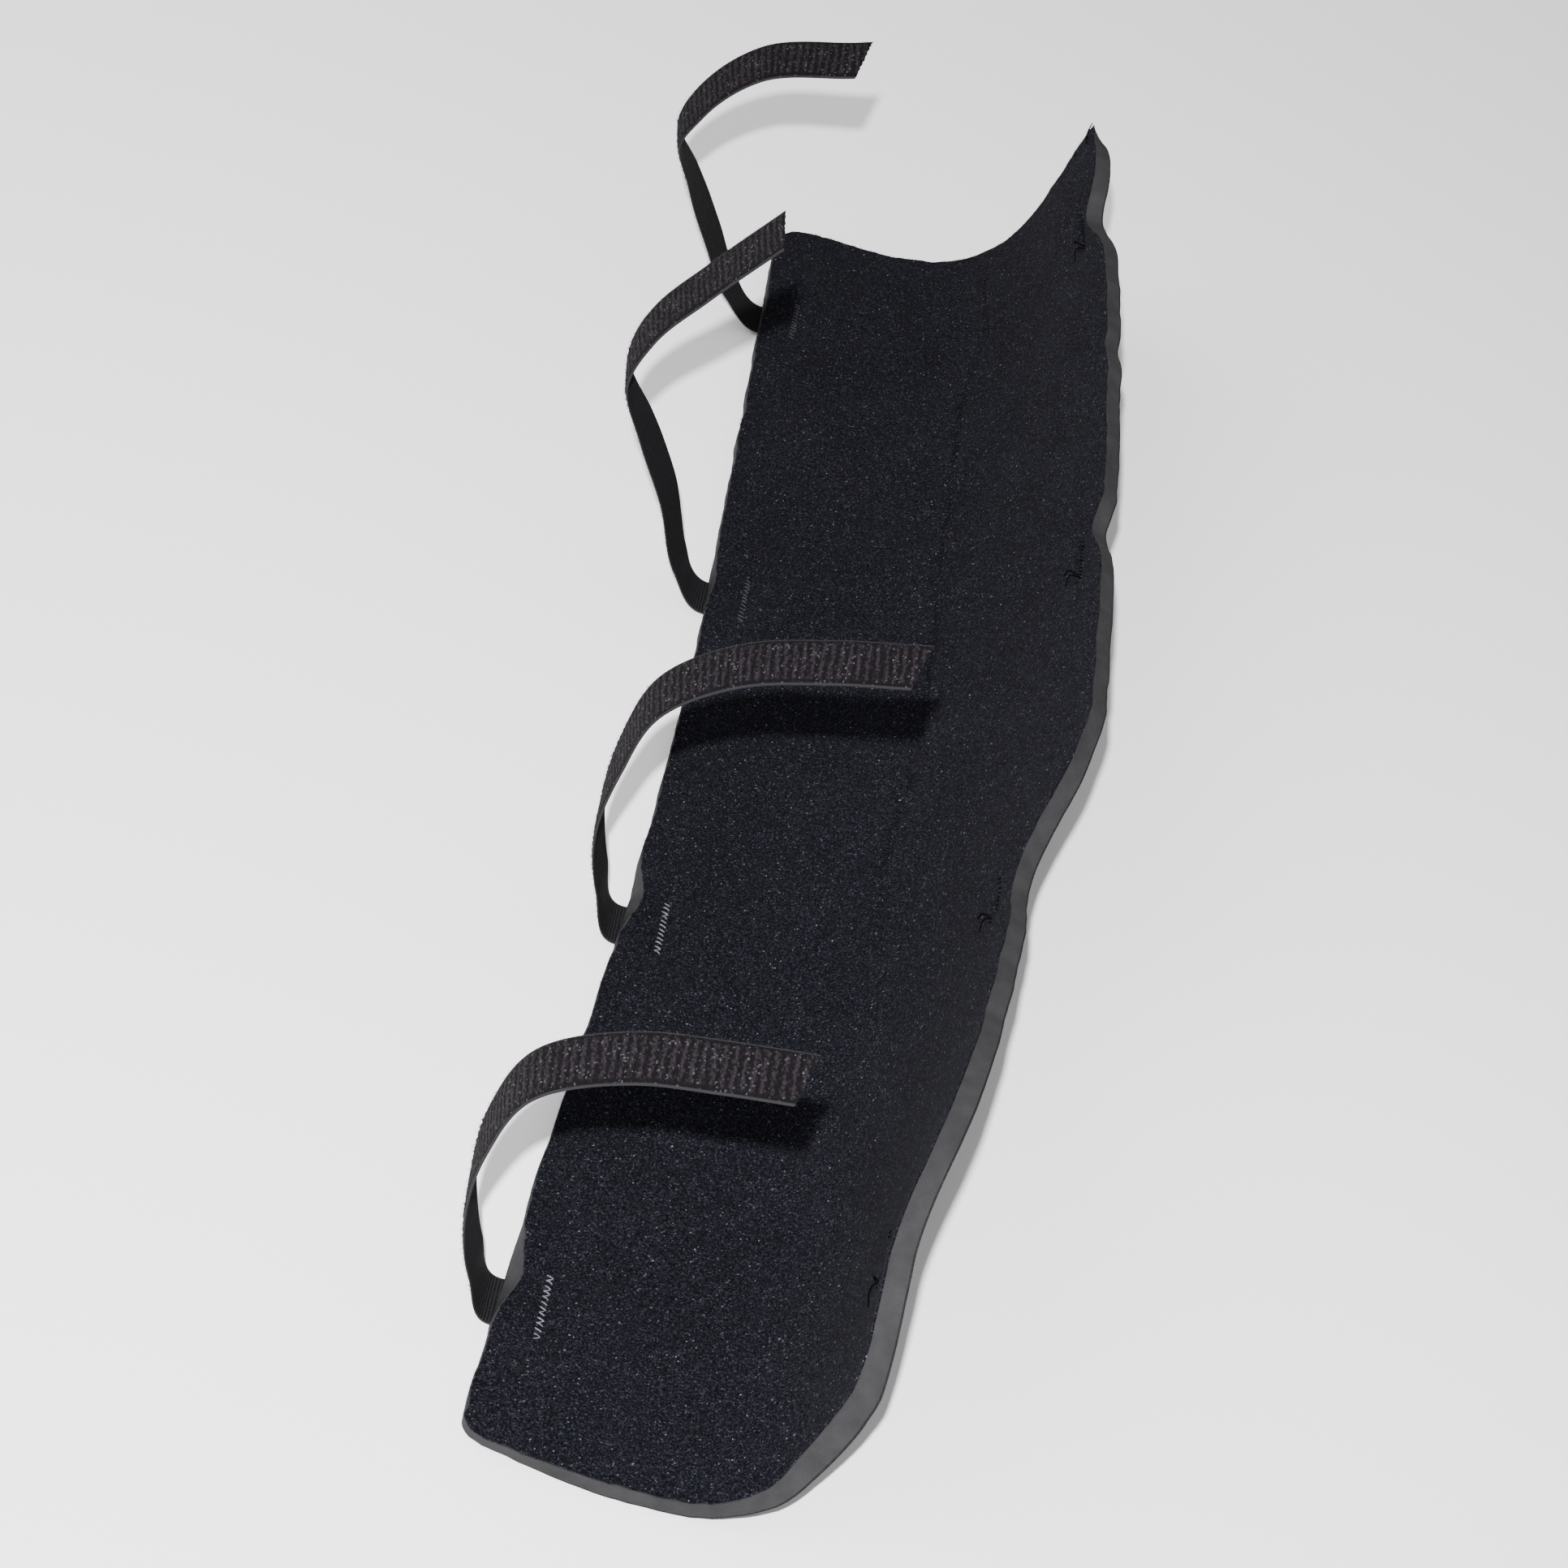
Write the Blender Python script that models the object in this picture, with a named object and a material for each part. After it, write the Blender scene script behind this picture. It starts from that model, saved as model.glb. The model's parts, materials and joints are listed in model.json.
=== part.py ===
"""Strap-on foam kick shield: a long guard for one limb, cut from laminated foam and bent into a gutter.

The sheet is three bonded layers: a napped lining against the limb, the foam core, and the outer cover.
It lies on its flat wing with the cover down and the other wing turned up. Along the edge of the flat
wing four lengths of hook-and-loop tape are sewn under the cover by bar tacks; each one curls up and
over the channel. Four short landing tabs are tacked to the outside of the turned-up wing.

Frame: +Y runs from the ankle end to the knee end, +X from the flat wing to the turned-up wing, and
+Z is up. Lengths below are in millimetres and MM turns them into Blender's metres.
"""

import math

import bmesh
import bpy
import numpy as np
from mathutils import Vector

MM = 0.001

# ---- The sheet ----------------------------------------------------------------------------------
LENGTH = 576.0
LINING_THICK = 0.6
FOAM_THICK = 5.0
COVER_THICK = 0.5
GAP = 0.3  # glue line between two layers, and the air under every sewn piece
LINING_BACK = LINING_THICK
FOAM_FRONT = LINING_BACK + GAP
FOAM_BACK = FOAM_FRONT + FOAM_THICK
COVER_FRONT = FOAM_BACK + GAP
SHEET_THICK = COVER_FRONT + COVER_THICK

# The sheet turns by this many degrees from the flat wing to the other, at three places along it.
TURN_ANKLE, TURN_MIDDLE, TURN_KNEE = 104.0, 59.0, 78.5
ANKLE_FLARE, FLARE_REACH = 14.0, 30.0  # the ankle end springs open again by this much
TURN_HALF_BAND = 44.0  # the turn is spread over this much of the sheet on each side of the fold line
FLAT_START = -80.0  # a line on the flat wing where the across-coordinate equals the x-coordinate

# The cut outline, as (distance from the ankle end, distance across from the fold line).
LEFT_EDGE = [(0, -88.0), (100, -83.0), (200, -76.0), (330, -72.4), (450, -74.6), (576, -77.5)]
RIGHT_EDGE = [
    (17, 33.0), (21, 41.0), (27, 50.0), (35, 57.5), (46, 61.5), (56, 66.5), (66, 73.0), (85, 74.0),
    (110, 70.5), (140, 67.0), (175, 64.5), (207, 61.5), (222, 66.5), (240, 75.0), (266, 80.8),
    (300, 79.5), (345, 77.0), (420, 75.3), (576, 75.5),
]
# The ankle end's cut line, as (distance across, distance from the ankle end).
ANKLE_EDGE = [
    (-88, 4.5), (-70, 2.0), (-45, 0.0), (-15, 0.0), (0, 4.0), (8, 9.0), (25, 15.5), (36, 17.0), (90, 17.0),
]
ANKLE_FADE = 60.0  # the mesh rows straighten out over this much of the sheet
LEFT_ANKLE_ROUND, LEFT_KNEE_ROUND, RIGHT_KNEE_ROUND = 7.0, 12.0, 2.5
# The knife leaned where it rounded the ankle corner of the turned-up wing: the lining ends short
# of the cover by this much there, and by less and less up to the end of the lean.
CUT_LEAN = 5.0
LEAN_FULL, LEAN_END = 70.0, 130.0  # along the sheet
LEAN_START_ACROSS, LEAN_FULL_ACROSS = -15.0, 15.0
RIGHT_PINCHES = [(367, 4.0, 12.0), (535, 7.5, 14.0)]  # along, depth, spread: tacks draw the edge in

# ---- The straps ---------------------------------------------------------------------------------
TAPE_WIDTH = 16.0
TAPE_THICK = 1.2
TACK_INSET = 12.5  # from the cut edge to the line of stitches, on the flat wing
ROOT_REACH = 4.5  # tape that lies past the stitches, under the wing
POCKET_DEPTH = 2.6  # how far the stitches squeeze the foam in under a strap's root
POCKET_SIDE, POCKET_SLOPE = 4.2, 2.4  # room beside the tape, and the run of the pocket's wall
HINGE_OUT = 1.6  # the tape starts to bend this far outside the cut edge
HINGE_CLEAR = 0.85  # from the hinge line to the end of the root, and to the start of the strap

# One strap a row: where it is along the sheet, and its run seen from the ankle end, as
# (x, height over the lining), from the hinge to the cut end.
STRAPS = {
    "1": (520.0, [(-91, 7), (-102, 26), (-115, 49), (-123.5, 65), (-119, 80), (-102, 102), (-70, 114.5)]),
    "2": (359.0, [(-86, 9), (-97, 36), (-109, 59), (-117.5, 79), (-113, 99), (-100, 121), (-82, 148)]),
    "3": (201.0, [(-86, 14), (-91.5, 36), (-91, 66), (-85, 92), (-66, 111.5), (-42, 122), (-18, 129)]),
    "4": (51.5, [(-95, 12), (-101, 36), (-101.5, 66), (-94, 92), (-70, 108.5), (-48, 113.5), (-26, 117)]),
}
STRAP_STEP = 6.0

# ---- Landing tabs and bar tacks -----------------------------------------------------------------
TAB_LENGTH = 40.0
TAB_STEP = 4.0
TAB_AIR = 0.7  # the tape is stiffer than the cover, so it lies a little clear of it round the bend
RIGHT_TACKS = {"1": (533.0, 61.8), "2": (355.5, 66.0), "3": (196.0, 53.3), "4": (55.0, 42.0)}
TAB_REACH = 4.0  # tape between the stitches and the end of the tab nearest the cut edge
TACK_LENGTH = 23.0
TACK_WIDTH = 2.6
TACK_THICK = 0.7
STITCH_LENGTH, STITCH_WIDTH = 11.0, 0.6  # the threads that go through the sheet, as one web
SLOT_CLEAR = 0.3

X_ORIGIN, Y_ORIGIN = 35.9, -288.3  # where the pattern's zeros lie from the middle of the whole object

COLOURS = {
    "lining": ((0.013, 0.013, 0.018), 0.95),
    "foam": ((0.075, 0.073, 0.085), 0.9),
    "cover": ((0.012, 0.012, 0.014), 0.8),
    "tape": ((0.020, 0.017, 0.022), 0.85),
    "thread": ((0.11, 0.11, 0.13), 0.7),
}


# ---- Curves -------------------------------------------------------------------------------------
def smooth_through(points, at):
    """Height of the smooth curve through (place, value) points: cubic pieces with mean slopes."""
    places = [p[0] for p in points]
    values = [p[1] for p in points]
    slopes = np.gradient(values, places, edge_order=1)
    at = min(max(at, places[0]), places[-1])
    i = min(int(np.searchsorted(places, at, side="right")) - 1, len(places) - 2)
    run = places[i + 1] - places[i]
    t = (at - places[i]) / run
    return (
        values[i] * (2 * t**3 - 3 * t**2 + 1)
        + values[i + 1] * (3 * t**2 - 2 * t**3)
        + run * slopes[i] * (t**3 - 2 * t**2 + t)
        + run * slopes[i + 1] * (t**3 - t**2)
    )


def smooth_step(x):
    x = min(max(x, 0.0), 1.0)
    return x * x * (3 - 2 * x)


def round_off(along, radius):
    """How far a rounded corner has drawn the edge in, at a distance along from the sheet's end."""
    if along >= radius:
        return 0.0
    return radius - math.sqrt(radius**2 - (radius - max(along, 0.0)) ** 2)


# ---- The bent sheet -----------------------------------------------------------------------------
def turn_at(along):
    """The sheet's whole turn in radians: a parabola through three values, less the ankle's flare."""
    t = along / LENGTH
    ends = TURN_ANKLE + (TURN_KNEE - TURN_ANKLE) * t
    sag = TURN_MIDDLE - (TURN_ANKLE + TURN_KNEE) / 2
    flare = ANKLE_FLARE * math.exp(-((along / FLARE_REACH) ** 2))
    return math.radians(ends + sag * 4 * t * (1 - t) - flare)


def lining_point(along, across):
    """The point of the lining's face at these distances along and across the flat pattern."""
    turn = turn_at(along)
    steps = 80
    q = FLAT_START + (across - FLAT_START) * (np.arange(steps) + 0.5) / steps
    part = np.clip(q / (2 * TURN_HALF_BAND) + 0.5, 0, 1)
    angle = turn * part**2 * (3 - 2 * part)
    reach = across - FLAT_START
    x = X_ORIGIN + FLAT_START + reach * float(np.cos(angle).mean())
    z = SHEET_THICK + reach * float(np.sin(angle).mean())
    return Vector((x, along + Y_ORIGIN, z))


def tangents(along, across, step=0.5):
    """Unit vectors along the sheet, across it, and out of its lining, at a place on the pattern."""
    forward = lining_point(along + step, across) - lining_point(along - step, across)
    sideways = lining_point(along, across + step) - lining_point(along, across - step)
    forward.normalize()
    out = sideways.cross(forward).normalized()
    return forward, forward.cross(out).normalized(), out


def sheet_point(along, across, depth):
    """A point at this depth below the lining's face, in metres."""
    out = tangents(along, across)[2]
    return (lining_point(along, across) - out * depth) * MM


def left_edge(along):
    edge = smooth_through(LEFT_EDGE, along)
    drawn = round_off(along, LEFT_ANKLE_ROUND) + round_off(LENGTH - along, LEFT_KNEE_ROUND)
    return edge + drawn


def right_edge(along):
    edge = smooth_through(RIGHT_EDGE, along)
    for place, depth, spread in RIGHT_PINCHES:
        edge -= depth * math.exp(-(((along - place) / spread) ** 2))
    return edge - round_off(LENGTH - along, RIGHT_KNEE_ROUND)


def pocket(along, across):
    """How far a strap's root and its stitches press the cover in, at a place on the pattern."""
    for place, _ in STRAPS.values():
        sideways = abs(along - place) - TAPE_WIDTH / 2 - POCKET_SIDE
        inward = across - left_edge(along) - TACK_INSET - ROOT_REACH - POCKET_SIDE
        wall = max(sideways, inward) / POCKET_SLOPE
        if wall < 1:
            return POCKET_DEPTH * (1 - smooth_step(wall))
    return 0.0


def pattern_rows():
    """Places along the sheet where the mesh has a row: even ones, the corners' and the pockets'."""
    rows = set(np.linspace(0, LENGTH, 25))
    rows |= {1.5, 4.0, 9.0, 16.0, LENGTH - 1.5, LENGTH - 4.0, LENGTH - 8.0, 216.0, 262.0}
    for place, _ in STRAPS.values():
        half = TAPE_WIDTH / 2 + POCKET_SIDE
        rows = {row for row in rows if abs(row - place) > half + POCKET_SLOPE + 1.5}
        for edge in (half, half + POCKET_SLOPE):
            rows |= {place - edge, place + edge}
    return sorted(rows)


def pattern_grid(depth):
    """The sheet's mesh points on the flat pattern, at a depth: rows of (along, across)."""
    lean = CUT_LEAN * (1 - depth / SHEET_THICK)
    inner = TACK_INSET + ROOT_REACH + POCKET_SIDE
    fixed = [0.0, inner / 2, inner, inner + POCKET_SLOPE]
    columns = 13
    grid = []
    for row in pattern_rows():
        fade = max(1 - row / ANKLE_FADE, 0.0) ** 2
        left = left_edge(row)
        right = right_edge(row + ANKLE_EDGE[-1][1] * fade)
        right -= lean * smooth_step((LEAN_END - row) / (LEAN_END - LEAN_FULL))
        rest = right - left - fixed[-1]
        places = [left + d for d in fixed]
        places += [left + fixed[-1] + rest * (k + 1) / columns for k in range(columns)]
        line = []
        for across in places:
            leaning = smooth_step((across - LEAN_START_ACROSS) / (LEAN_FULL_ACROSS - LEAN_START_ACROSS))
            lift = smooth_through(ANKLE_EDGE, across) + lean * leaning
            line.append((row + lift * fade, across))
        grid.append(line)
    return grid


# ---- Meshes -------------------------------------------------------------------------------------
def material(name):
    colour, roughness = COLOURS[name]
    made = bpy.data.materials.get(name) or bpy.data.materials.new(name)
    made.use_nodes = True
    shader = made.node_tree.nodes["Principled BSDF"]
    shader.inputs["Base Color"].default_value = (*colour, 1)
    shader.inputs["Roughness"].default_value = roughness
    shader.inputs["Metallic"].default_value = 0.0
    return made


def new_object(name, bm, finish, origin=(0, 0, 0)):
    """Make an object of a bmesh whose points are in world metres, with its origin moved to a place."""
    bmesh.ops.translate(bm, verts=bm.verts, vec=-Vector(origin))
    bmesh.ops.recalc_face_normals(bm, faces=bm.faces)
    mesh = bpy.data.meshes.new(name)
    bm.to_mesh(mesh)
    bm.free()
    mesh.materials.append(material(finish))
    mesh.shade_smooth()
    mesh.set_sharp_from_angle(angle=math.radians(35))
    made = bpy.data.objects.new(name, mesh)
    made.location = origin
    bpy.context.scene.collection.objects.link(made)
    return made


def slab(front, back, bm=None):
    """One closed body between two grids of points of the same size, in a new bmesh or a given one."""
    bm = bm or bmesh.new()
    sides = [[[bm.verts.new(p) for p in line] for line in grid] for grid in (front, back)]
    last_row, last_column = len(front) - 1, len(front[0]) - 1
    for side in sides:
        for i in range(last_row):
            for j in range(last_column):
                bm.faces.new((side[i][j], side[i + 1][j], side[i + 1][j + 1], side[i][j + 1]))
    rim = [(i, 0) for i in range(last_row)] + [(last_row, j) for j in range(last_column)]
    rim += [(i, last_column) for i in range(last_row, 0, -1)] + [(0, j) for j in range(last_column, 0, -1)]
    for (a, b), (c, d) in zip(rim, rim[1:] + rim[:1]):
        bm.faces.new((sides[0][a][b], sides[0][c][d], sides[1][c][d], sides[1][a][b]))
    return bm


def sheet_layer(name, finish, front_depth, back_depth, front_dips, back_dips):
    """One layer of the laminate; a side that dips follows the pockets under the straps' roots."""
    def side(depth, dips):
        return [
            [sheet_point(s, u, depth - (pocket(s, u) if dips else 0)) for s, u in line]
            for line in pattern_grid(depth)
        ]
    bm = slab(side(front_depth, front_dips), side(back_depth, back_dips))
    bmesh.ops.triangulate(bm, faces=bm.faces)
    return new_object(name, bm, finish)


def ribbon(centres, normals, width, thick):
    """A closed strip of tape of this width along Y, through centre points in its cross plane."""
    half = Vector((0, width / 2 * MM, 0))
    def side(sign):
        return [
            [c + n * sign * thick / 2 * MM - half, c + n * sign * thick / 2 * MM + half]
            for c, n in zip(centres, normals)
        ]
    return slab(side(1), side(-1))


def hinge_point(number):
    """Where a strap bends at the edge of the flat wing, in the middle of its root's thickness."""
    place = STRAPS[number][0]
    x = X_ORIGIN + left_edge(place) - HINGE_OUT
    return Vector((x, place + Y_ORIGIN, POCKET_DEPTH - GAP - TAPE_THICK / 2)) * MM


def strap_root(number):
    """The sewn end of a strap: flat in its pocket, from past the stitches to the wing's edge."""
    hinge = hinge_point(number)
    inner = HINGE_OUT + TACK_INSET + ROOT_REACH
    places = [HINGE_CLEAR, inner / 2, inner]
    centres = [hinge + Vector((d * MM, 0, 0)) for d in places]
    up = Vector((0, 0, 1))
    return new_object(f"strap_root_{number}", ribbon(centres, [up] * 3, TAPE_WIDTH, TAPE_THICK), "tape")


def strap_run(number):
    """Evenly spaced points along a strap's curl, and the normals of its outer face."""
    place, points = STRAPS[number]
    hinge = hinge_point(number) / MM
    corners = [Vector((X_ORIGIN + x, place + Y_ORIGIN, SHEET_THICK + z)) for x, z in points]
    towards = (corners[0] - hinge).normalized()
    corners = [hinge + towards * HINGE_CLEAR] + corners
    chord = np.cumsum([0] + [(b - a).length for a, b in zip(corners, corners[1:])])
    xs = [(d, c.x) for d, c in zip(chord, corners)]
    zs = [(d, c.z) for d, c in zip(chord, corners)]
    count = round(chord[-1] / STRAP_STEP)
    run = [
        Vector((smooth_through(xs, d), corners[0].y, smooth_through(zs, d)))
        for d in np.linspace(0, chord[-1], count + 1)
    ]
    normals = []
    for i in range(len(run)):
        along = (run[min(i + 1, count)] - run[max(i - 1, 0)]).normalized()
        normals.append(Vector((-along.z, 0, along.x)))
    return [p * MM for p in run], normals


def strap(number):
    """The free length of a strap, with its origin on the line where it hinges."""
    run, normals = strap_run(number)
    made = ribbon(run, normals, TAPE_WIDTH, TAPE_THICK)
    length = sum((b - a).length for a, b in zip(run, run[1:]))
    hinge = hinge_point(number)
    print(f"strap_{number}: free length {length / MM:.1f} mm, hinge at {tuple(round(c, 5) for c in hinge)}")
    return new_object(f"strap_{number}", made, "tape", hinge)


def landing_tab(number):
    """A short tape on the outside of the turned-up wing, running in from near its cut edge."""
    place, tack_across = RIGHT_TACKS[number]
    start = tack_across + TAB_REACH
    count = round(TAB_LENGTH / TAB_STEP)
    def side(depth):
        return [
            [
                sheet_point(place + y, start - TAB_LENGTH * k / count, depth)
                for y in (-TAPE_WIDTH / 2, 0, TAPE_WIDTH / 2)
            ]
            for k in range(count + 1)
        ]
    top = SHEET_THICK + TAB_AIR
    return new_object(f"landing_tab_{number}", slab(side(top), side(top + TAPE_THICK)), "tape")


def tack_frame(along, across):
    """Centre on the lining and unit vectors (along, across, out) of a bar tack's place."""
    return (lining_point(along, across), *tangents(along, across))


def level_grid(frame, lengths, widths, depth):
    """Points of a flat rectangular grid at this depth below the lining, in a tack's own directions."""
    centre, forward, sideways, out = frame
    return [[(centre + forward * a + sideways * b - out * depth) * MM for b in widths] for a in lengths]


def bar_tack(name, frame, under):
    """Bar tack as one solid: the bars of thread on both faces, and the web of stitches between them."""
    lengths = (-TACK_LENGTH / 2, -STITCH_LENGTH / 2, STITCH_LENGTH / 2, TACK_LENGTH / 2)
    widths = (-TACK_WIDTH / 2, -STITCH_WIDTH / 2, STITCH_WIDTH / 2, TACK_WIDTH / 2)
    levels = [-GAP - TACK_THICK, -GAP, under + GAP, under + GAP + TACK_THICK]
    grids = [level_grid(frame, lengths, widths, depth) for depth in levels]
    bm = slab(grids[0], grids[1])
    slab(grids[2], grids[3], bm)
    inner = [face for face in bm.faces if any(face_is_middle_of(face, grid) for grid in grids[1:3])]
    edges = [edge for face in inner for edge in face.edges]
    bmesh.ops.delete(bm, geom=inner, context="FACES_ONLY")
    bmesh.ops.bridge_loops(bm, edges=edges)
    return new_object(name, bm, "thread")


def face_is_middle_of(face, grid):
    """Whether a face is the middle one of a four by four grid of points."""
    middle = (grid[1][1] + grid[2][2]) / 2
    return (face.calc_center_median() - middle).length < 0.05 * MM


def cut_slot(targets, name, frame):
    """Open a slot for a tack's stitches through each of the pieces that it holds together."""
    half_length, half_width = STITCH_LENGTH / 2 + SLOT_CLEAR, STITCH_WIDTH / 2 + SLOT_CLEAR
    ends, sides = (-half_length, half_length), (-half_width, half_width)
    outside = 5.0
    above = level_grid(frame, ends, sides, -outside)
    below = level_grid(frame, ends, sides, SHEET_THICK + outside)
    cutter = new_object(name, slab(above, below), "thread")
    cutter.hide_render = True
    cutter.display_type = "WIRE"
    for target in targets:
        modifier = target.modifiers.new(name, "BOOLEAN")
        modifier.operation = "DIFFERENCE"
        modifier.solver = "EXACT"
        modifier.object = cutter


def main():
    for old in list(bpy.data.objects):
        bpy.data.objects.remove(old, do_unlink=True)
    layers = [
        sheet_layer("inner_lining", "lining", 0, LINING_BACK, False, False),
        sheet_layer("foam_core", "foam", FOAM_FRONT, FOAM_BACK, False, True),
        sheet_layer("outer_cover", "cover", COVER_FRONT, SHEET_THICK, True, True),
    ]
    root_under = SHEET_THICK - POCKET_DEPTH + GAP + TAPE_THICK
    tab_under = SHEET_THICK + TAB_AIR + TAPE_THICK
    for number, (place, _) in STRAPS.items():
        frame = tack_frame(place, left_edge(place) + TACK_INSET)
        strap(number)
        cut_slot([*layers, strap_root(number)], f"left_slot_{number}", frame)
        bar_tack(f"strap_tack_{number}", frame, root_under)
    for number, (place, across) in RIGHT_TACKS.items():
        frame = tack_frame(place, across)
        cut_slot([*layers, landing_tab(number)], f"right_slot_{number}", frame)
        bar_tack(f"tab_tack_{number}", frame, tab_under)


main()
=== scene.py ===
# %% [markdown]
# # A strap-on foam kick shield
# The real object is a long piece of foam laminate, cut flat with a knife and bent lengthwise into a
# gutter for one limb. Four lengths of hook-and-loop tape are sewn along one edge and curl up over it.
# This lesson does what the maker did: each layer is cut flat, pinched at its stitches, and then bent.

# %% Load the frame
import json
import math

import bpy
import numpy as np
from mathutils import Matrix, Vector


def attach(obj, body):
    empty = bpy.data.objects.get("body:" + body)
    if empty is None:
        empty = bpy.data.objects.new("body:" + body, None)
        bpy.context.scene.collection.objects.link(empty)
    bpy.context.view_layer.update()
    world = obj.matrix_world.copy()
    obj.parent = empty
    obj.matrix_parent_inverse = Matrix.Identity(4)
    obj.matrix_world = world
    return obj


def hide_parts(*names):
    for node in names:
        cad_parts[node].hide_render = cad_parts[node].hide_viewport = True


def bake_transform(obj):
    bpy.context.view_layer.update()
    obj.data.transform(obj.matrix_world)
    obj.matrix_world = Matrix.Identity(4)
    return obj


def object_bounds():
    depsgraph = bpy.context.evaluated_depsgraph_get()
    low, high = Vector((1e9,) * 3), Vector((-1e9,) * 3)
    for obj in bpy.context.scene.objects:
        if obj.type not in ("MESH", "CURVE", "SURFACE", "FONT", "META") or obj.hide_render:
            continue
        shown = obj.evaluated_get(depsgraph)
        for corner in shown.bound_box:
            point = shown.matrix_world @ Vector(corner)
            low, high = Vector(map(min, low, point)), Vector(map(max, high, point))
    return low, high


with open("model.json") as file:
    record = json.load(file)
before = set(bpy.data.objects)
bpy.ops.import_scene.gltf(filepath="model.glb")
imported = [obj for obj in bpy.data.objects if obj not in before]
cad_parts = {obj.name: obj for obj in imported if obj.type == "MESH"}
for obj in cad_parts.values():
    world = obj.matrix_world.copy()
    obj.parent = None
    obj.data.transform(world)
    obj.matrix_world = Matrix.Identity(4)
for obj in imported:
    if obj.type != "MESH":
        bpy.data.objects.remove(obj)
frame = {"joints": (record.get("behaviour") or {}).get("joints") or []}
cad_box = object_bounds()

MM = 0.001

# %% [markdown]
# ## Camera
# The view looks down on the lining from the ankle end, a little from the left, at about a metre.
# A long lens keeps the far end nearly as wide as the near end. The camera is turned in three steps,
# as a person would do with a tripod head: swing, tilt, then roll.

# %% Camera
CAMERA_PLACE = Vector((-0.0815, -0.8085, 0.7675))
CAMERA_SWING, CAMERA_TILT, CAMERA_ROLL = math.radians(-6.18), math.radians(46.12), math.radians(10.82)
LENS, SENSOR = 78.5, 36.0
bpy.ops.object.select_all(action="DESELECT")
bpy.ops.object.camera_add()
camera = bpy.context.object
camera.name = "camera"
camera.data.lens = LENS
camera.data.sensor_width = SENSOR
camera.matrix_world = (
    Matrix.Translation(CAMERA_PLACE)
    @ Matrix.Rotation(CAMERA_SWING, 4, "Y")
    @ Matrix.Rotation(CAMERA_TILT, 4, "X")
    @ Matrix.Rotation(CAMERA_ROLL, 4, "Z")
)
bpy.context.scene.camera = camera
print("camera", [round(c, 3) for c in CAMERA_PLACE], "lens", camera.data.lens)

# %% [markdown]
# ## Floor and light
# Black cloth needs a hard light to show its nap, and a soft one to show its shape. A small lamp just
# above the camera gives the straps their crisp shadows on the lining. A pale world, and a wide soft
# lamp behind, fill what it leaves dark. The floor is plain and pale, at the height the shield lies on.

# %% Floor and light
FLOOR_WIDE, FLOOR_GAP = 9.0, 0.0002
FLOOR_COLOUR, FLOOR_ROUGHNESS = (0.97, 0.97, 0.97), 0.95
WORLD_STRENGTH = 0.55
# Each lamp: its place, the place it points at, its width in metres and its power.
LAMPS = {
    "key": ((-0.146, -0.838, 0.937), (0, 0, 0.02), 0.03, 38.0),
    "soft_box": ((-1.7, -0.1, 1.5), (0.05, 0, 0), 2.2, 34.0),
}


def plain_material(name, colour, roughness):
    made = bpy.data.materials.new(name)
    made.use_nodes = True
    shader = made.node_tree.nodes["Principled BSDF"]
    shader.inputs["Base Color"].default_value = (*colour, 1)
    shader.inputs["Roughness"].default_value = roughness
    return made


def area_lamp(name, place, aim, width, power):
    bpy.ops.object.select_all(action="DESELECT")
    bpy.ops.object.light_add(type="AREA", location=place)
    lamp = bpy.context.object
    lamp.name = name
    lamp.data.shape = "DISK"
    lamp.data.size = width
    lamp.data.energy = power
    lamp.rotation_euler = (Vector(aim) - Vector(place)).to_track_quat("-Z", "Y").to_euler()


bpy.ops.object.select_all(action="DESELECT")
bpy.ops.mesh.primitive_plane_add(size=FLOOR_WIDE, location=(0, 0, cad_box[0].z - FLOOR_GAP))
floor = bpy.context.object
floor.name = "floor"
floor.data.materials.append(plain_material("pale_floor", FLOOR_COLOUR, FLOOR_ROUGHNESS))
for name, settings in LAMPS.items():
    area_lamp(name, *settings)
world = bpy.data.worlds.new("pale_world")
world.use_nodes = True
world.node_tree.nodes["Background"].inputs["Color"].default_value = (1, 1, 1, 1)
world.node_tree.nodes["Background"].inputs["Strength"].default_value = WORLD_STRENGTH
bpy.context.scene.world = world

# %% [markdown]
# ## The pattern
# The cut outline is drawn on the flat sheet: `along` runs from the ankle end to the knee end and
# `across` runs from the fold line out to each edge, both in millimetres. A smooth curve through a few
# points gives each edge, as a maker bends a spline through pins. The stitches draw the edges in.

# %% The pattern's outline
LENGTH = 576.0
THICK = 6.7
LINING_BACK, COVER_FRONT = 0.55, 6.15  # depths below the lining's face where the layers meet
LEFT_EDGE = [(0, -88.0), (100, -83.0), (200, -76.0), (330, -72.4), (450, -74.6), (576, -77.5)]
RIGHT_EDGE = [
    (17, 33.0), (21, 41.0), (27, 50.0), (35, 57.5), (46, 61.5), (56, 66.5), (66, 73.0), (85, 74.0),
    (110, 70.5), (140, 67.0), (175, 64.5), (207, 61.5), (222, 66.5), (240, 75.0), (266, 80.8),
    (300, 79.5), (345, 77.0), (420, 75.3), (576, 75.5),
]
ANKLE_EDGE = [
    (-88, 4.5), (-70, 2.0), (-45, 0.0), (-15, 0.0), (0, 4.0), (8, 9.0), (25, 15.5), (36, 17.0), (90, 17.0),
]
ANKLE_FADE = 60.0
LEFT_ANKLE_ROUND, LEFT_KNEE_ROUND, RIGHT_KNEE_ROUND = 7.0, 12.0, 2.5
CUT_LEAN, LEAN_FULL, LEAN_END = 5.0, 70.0, 130.0
LEAN_START_ACROSS, LEAN_FULL_ACROSS = -15.0, 15.0
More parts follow.
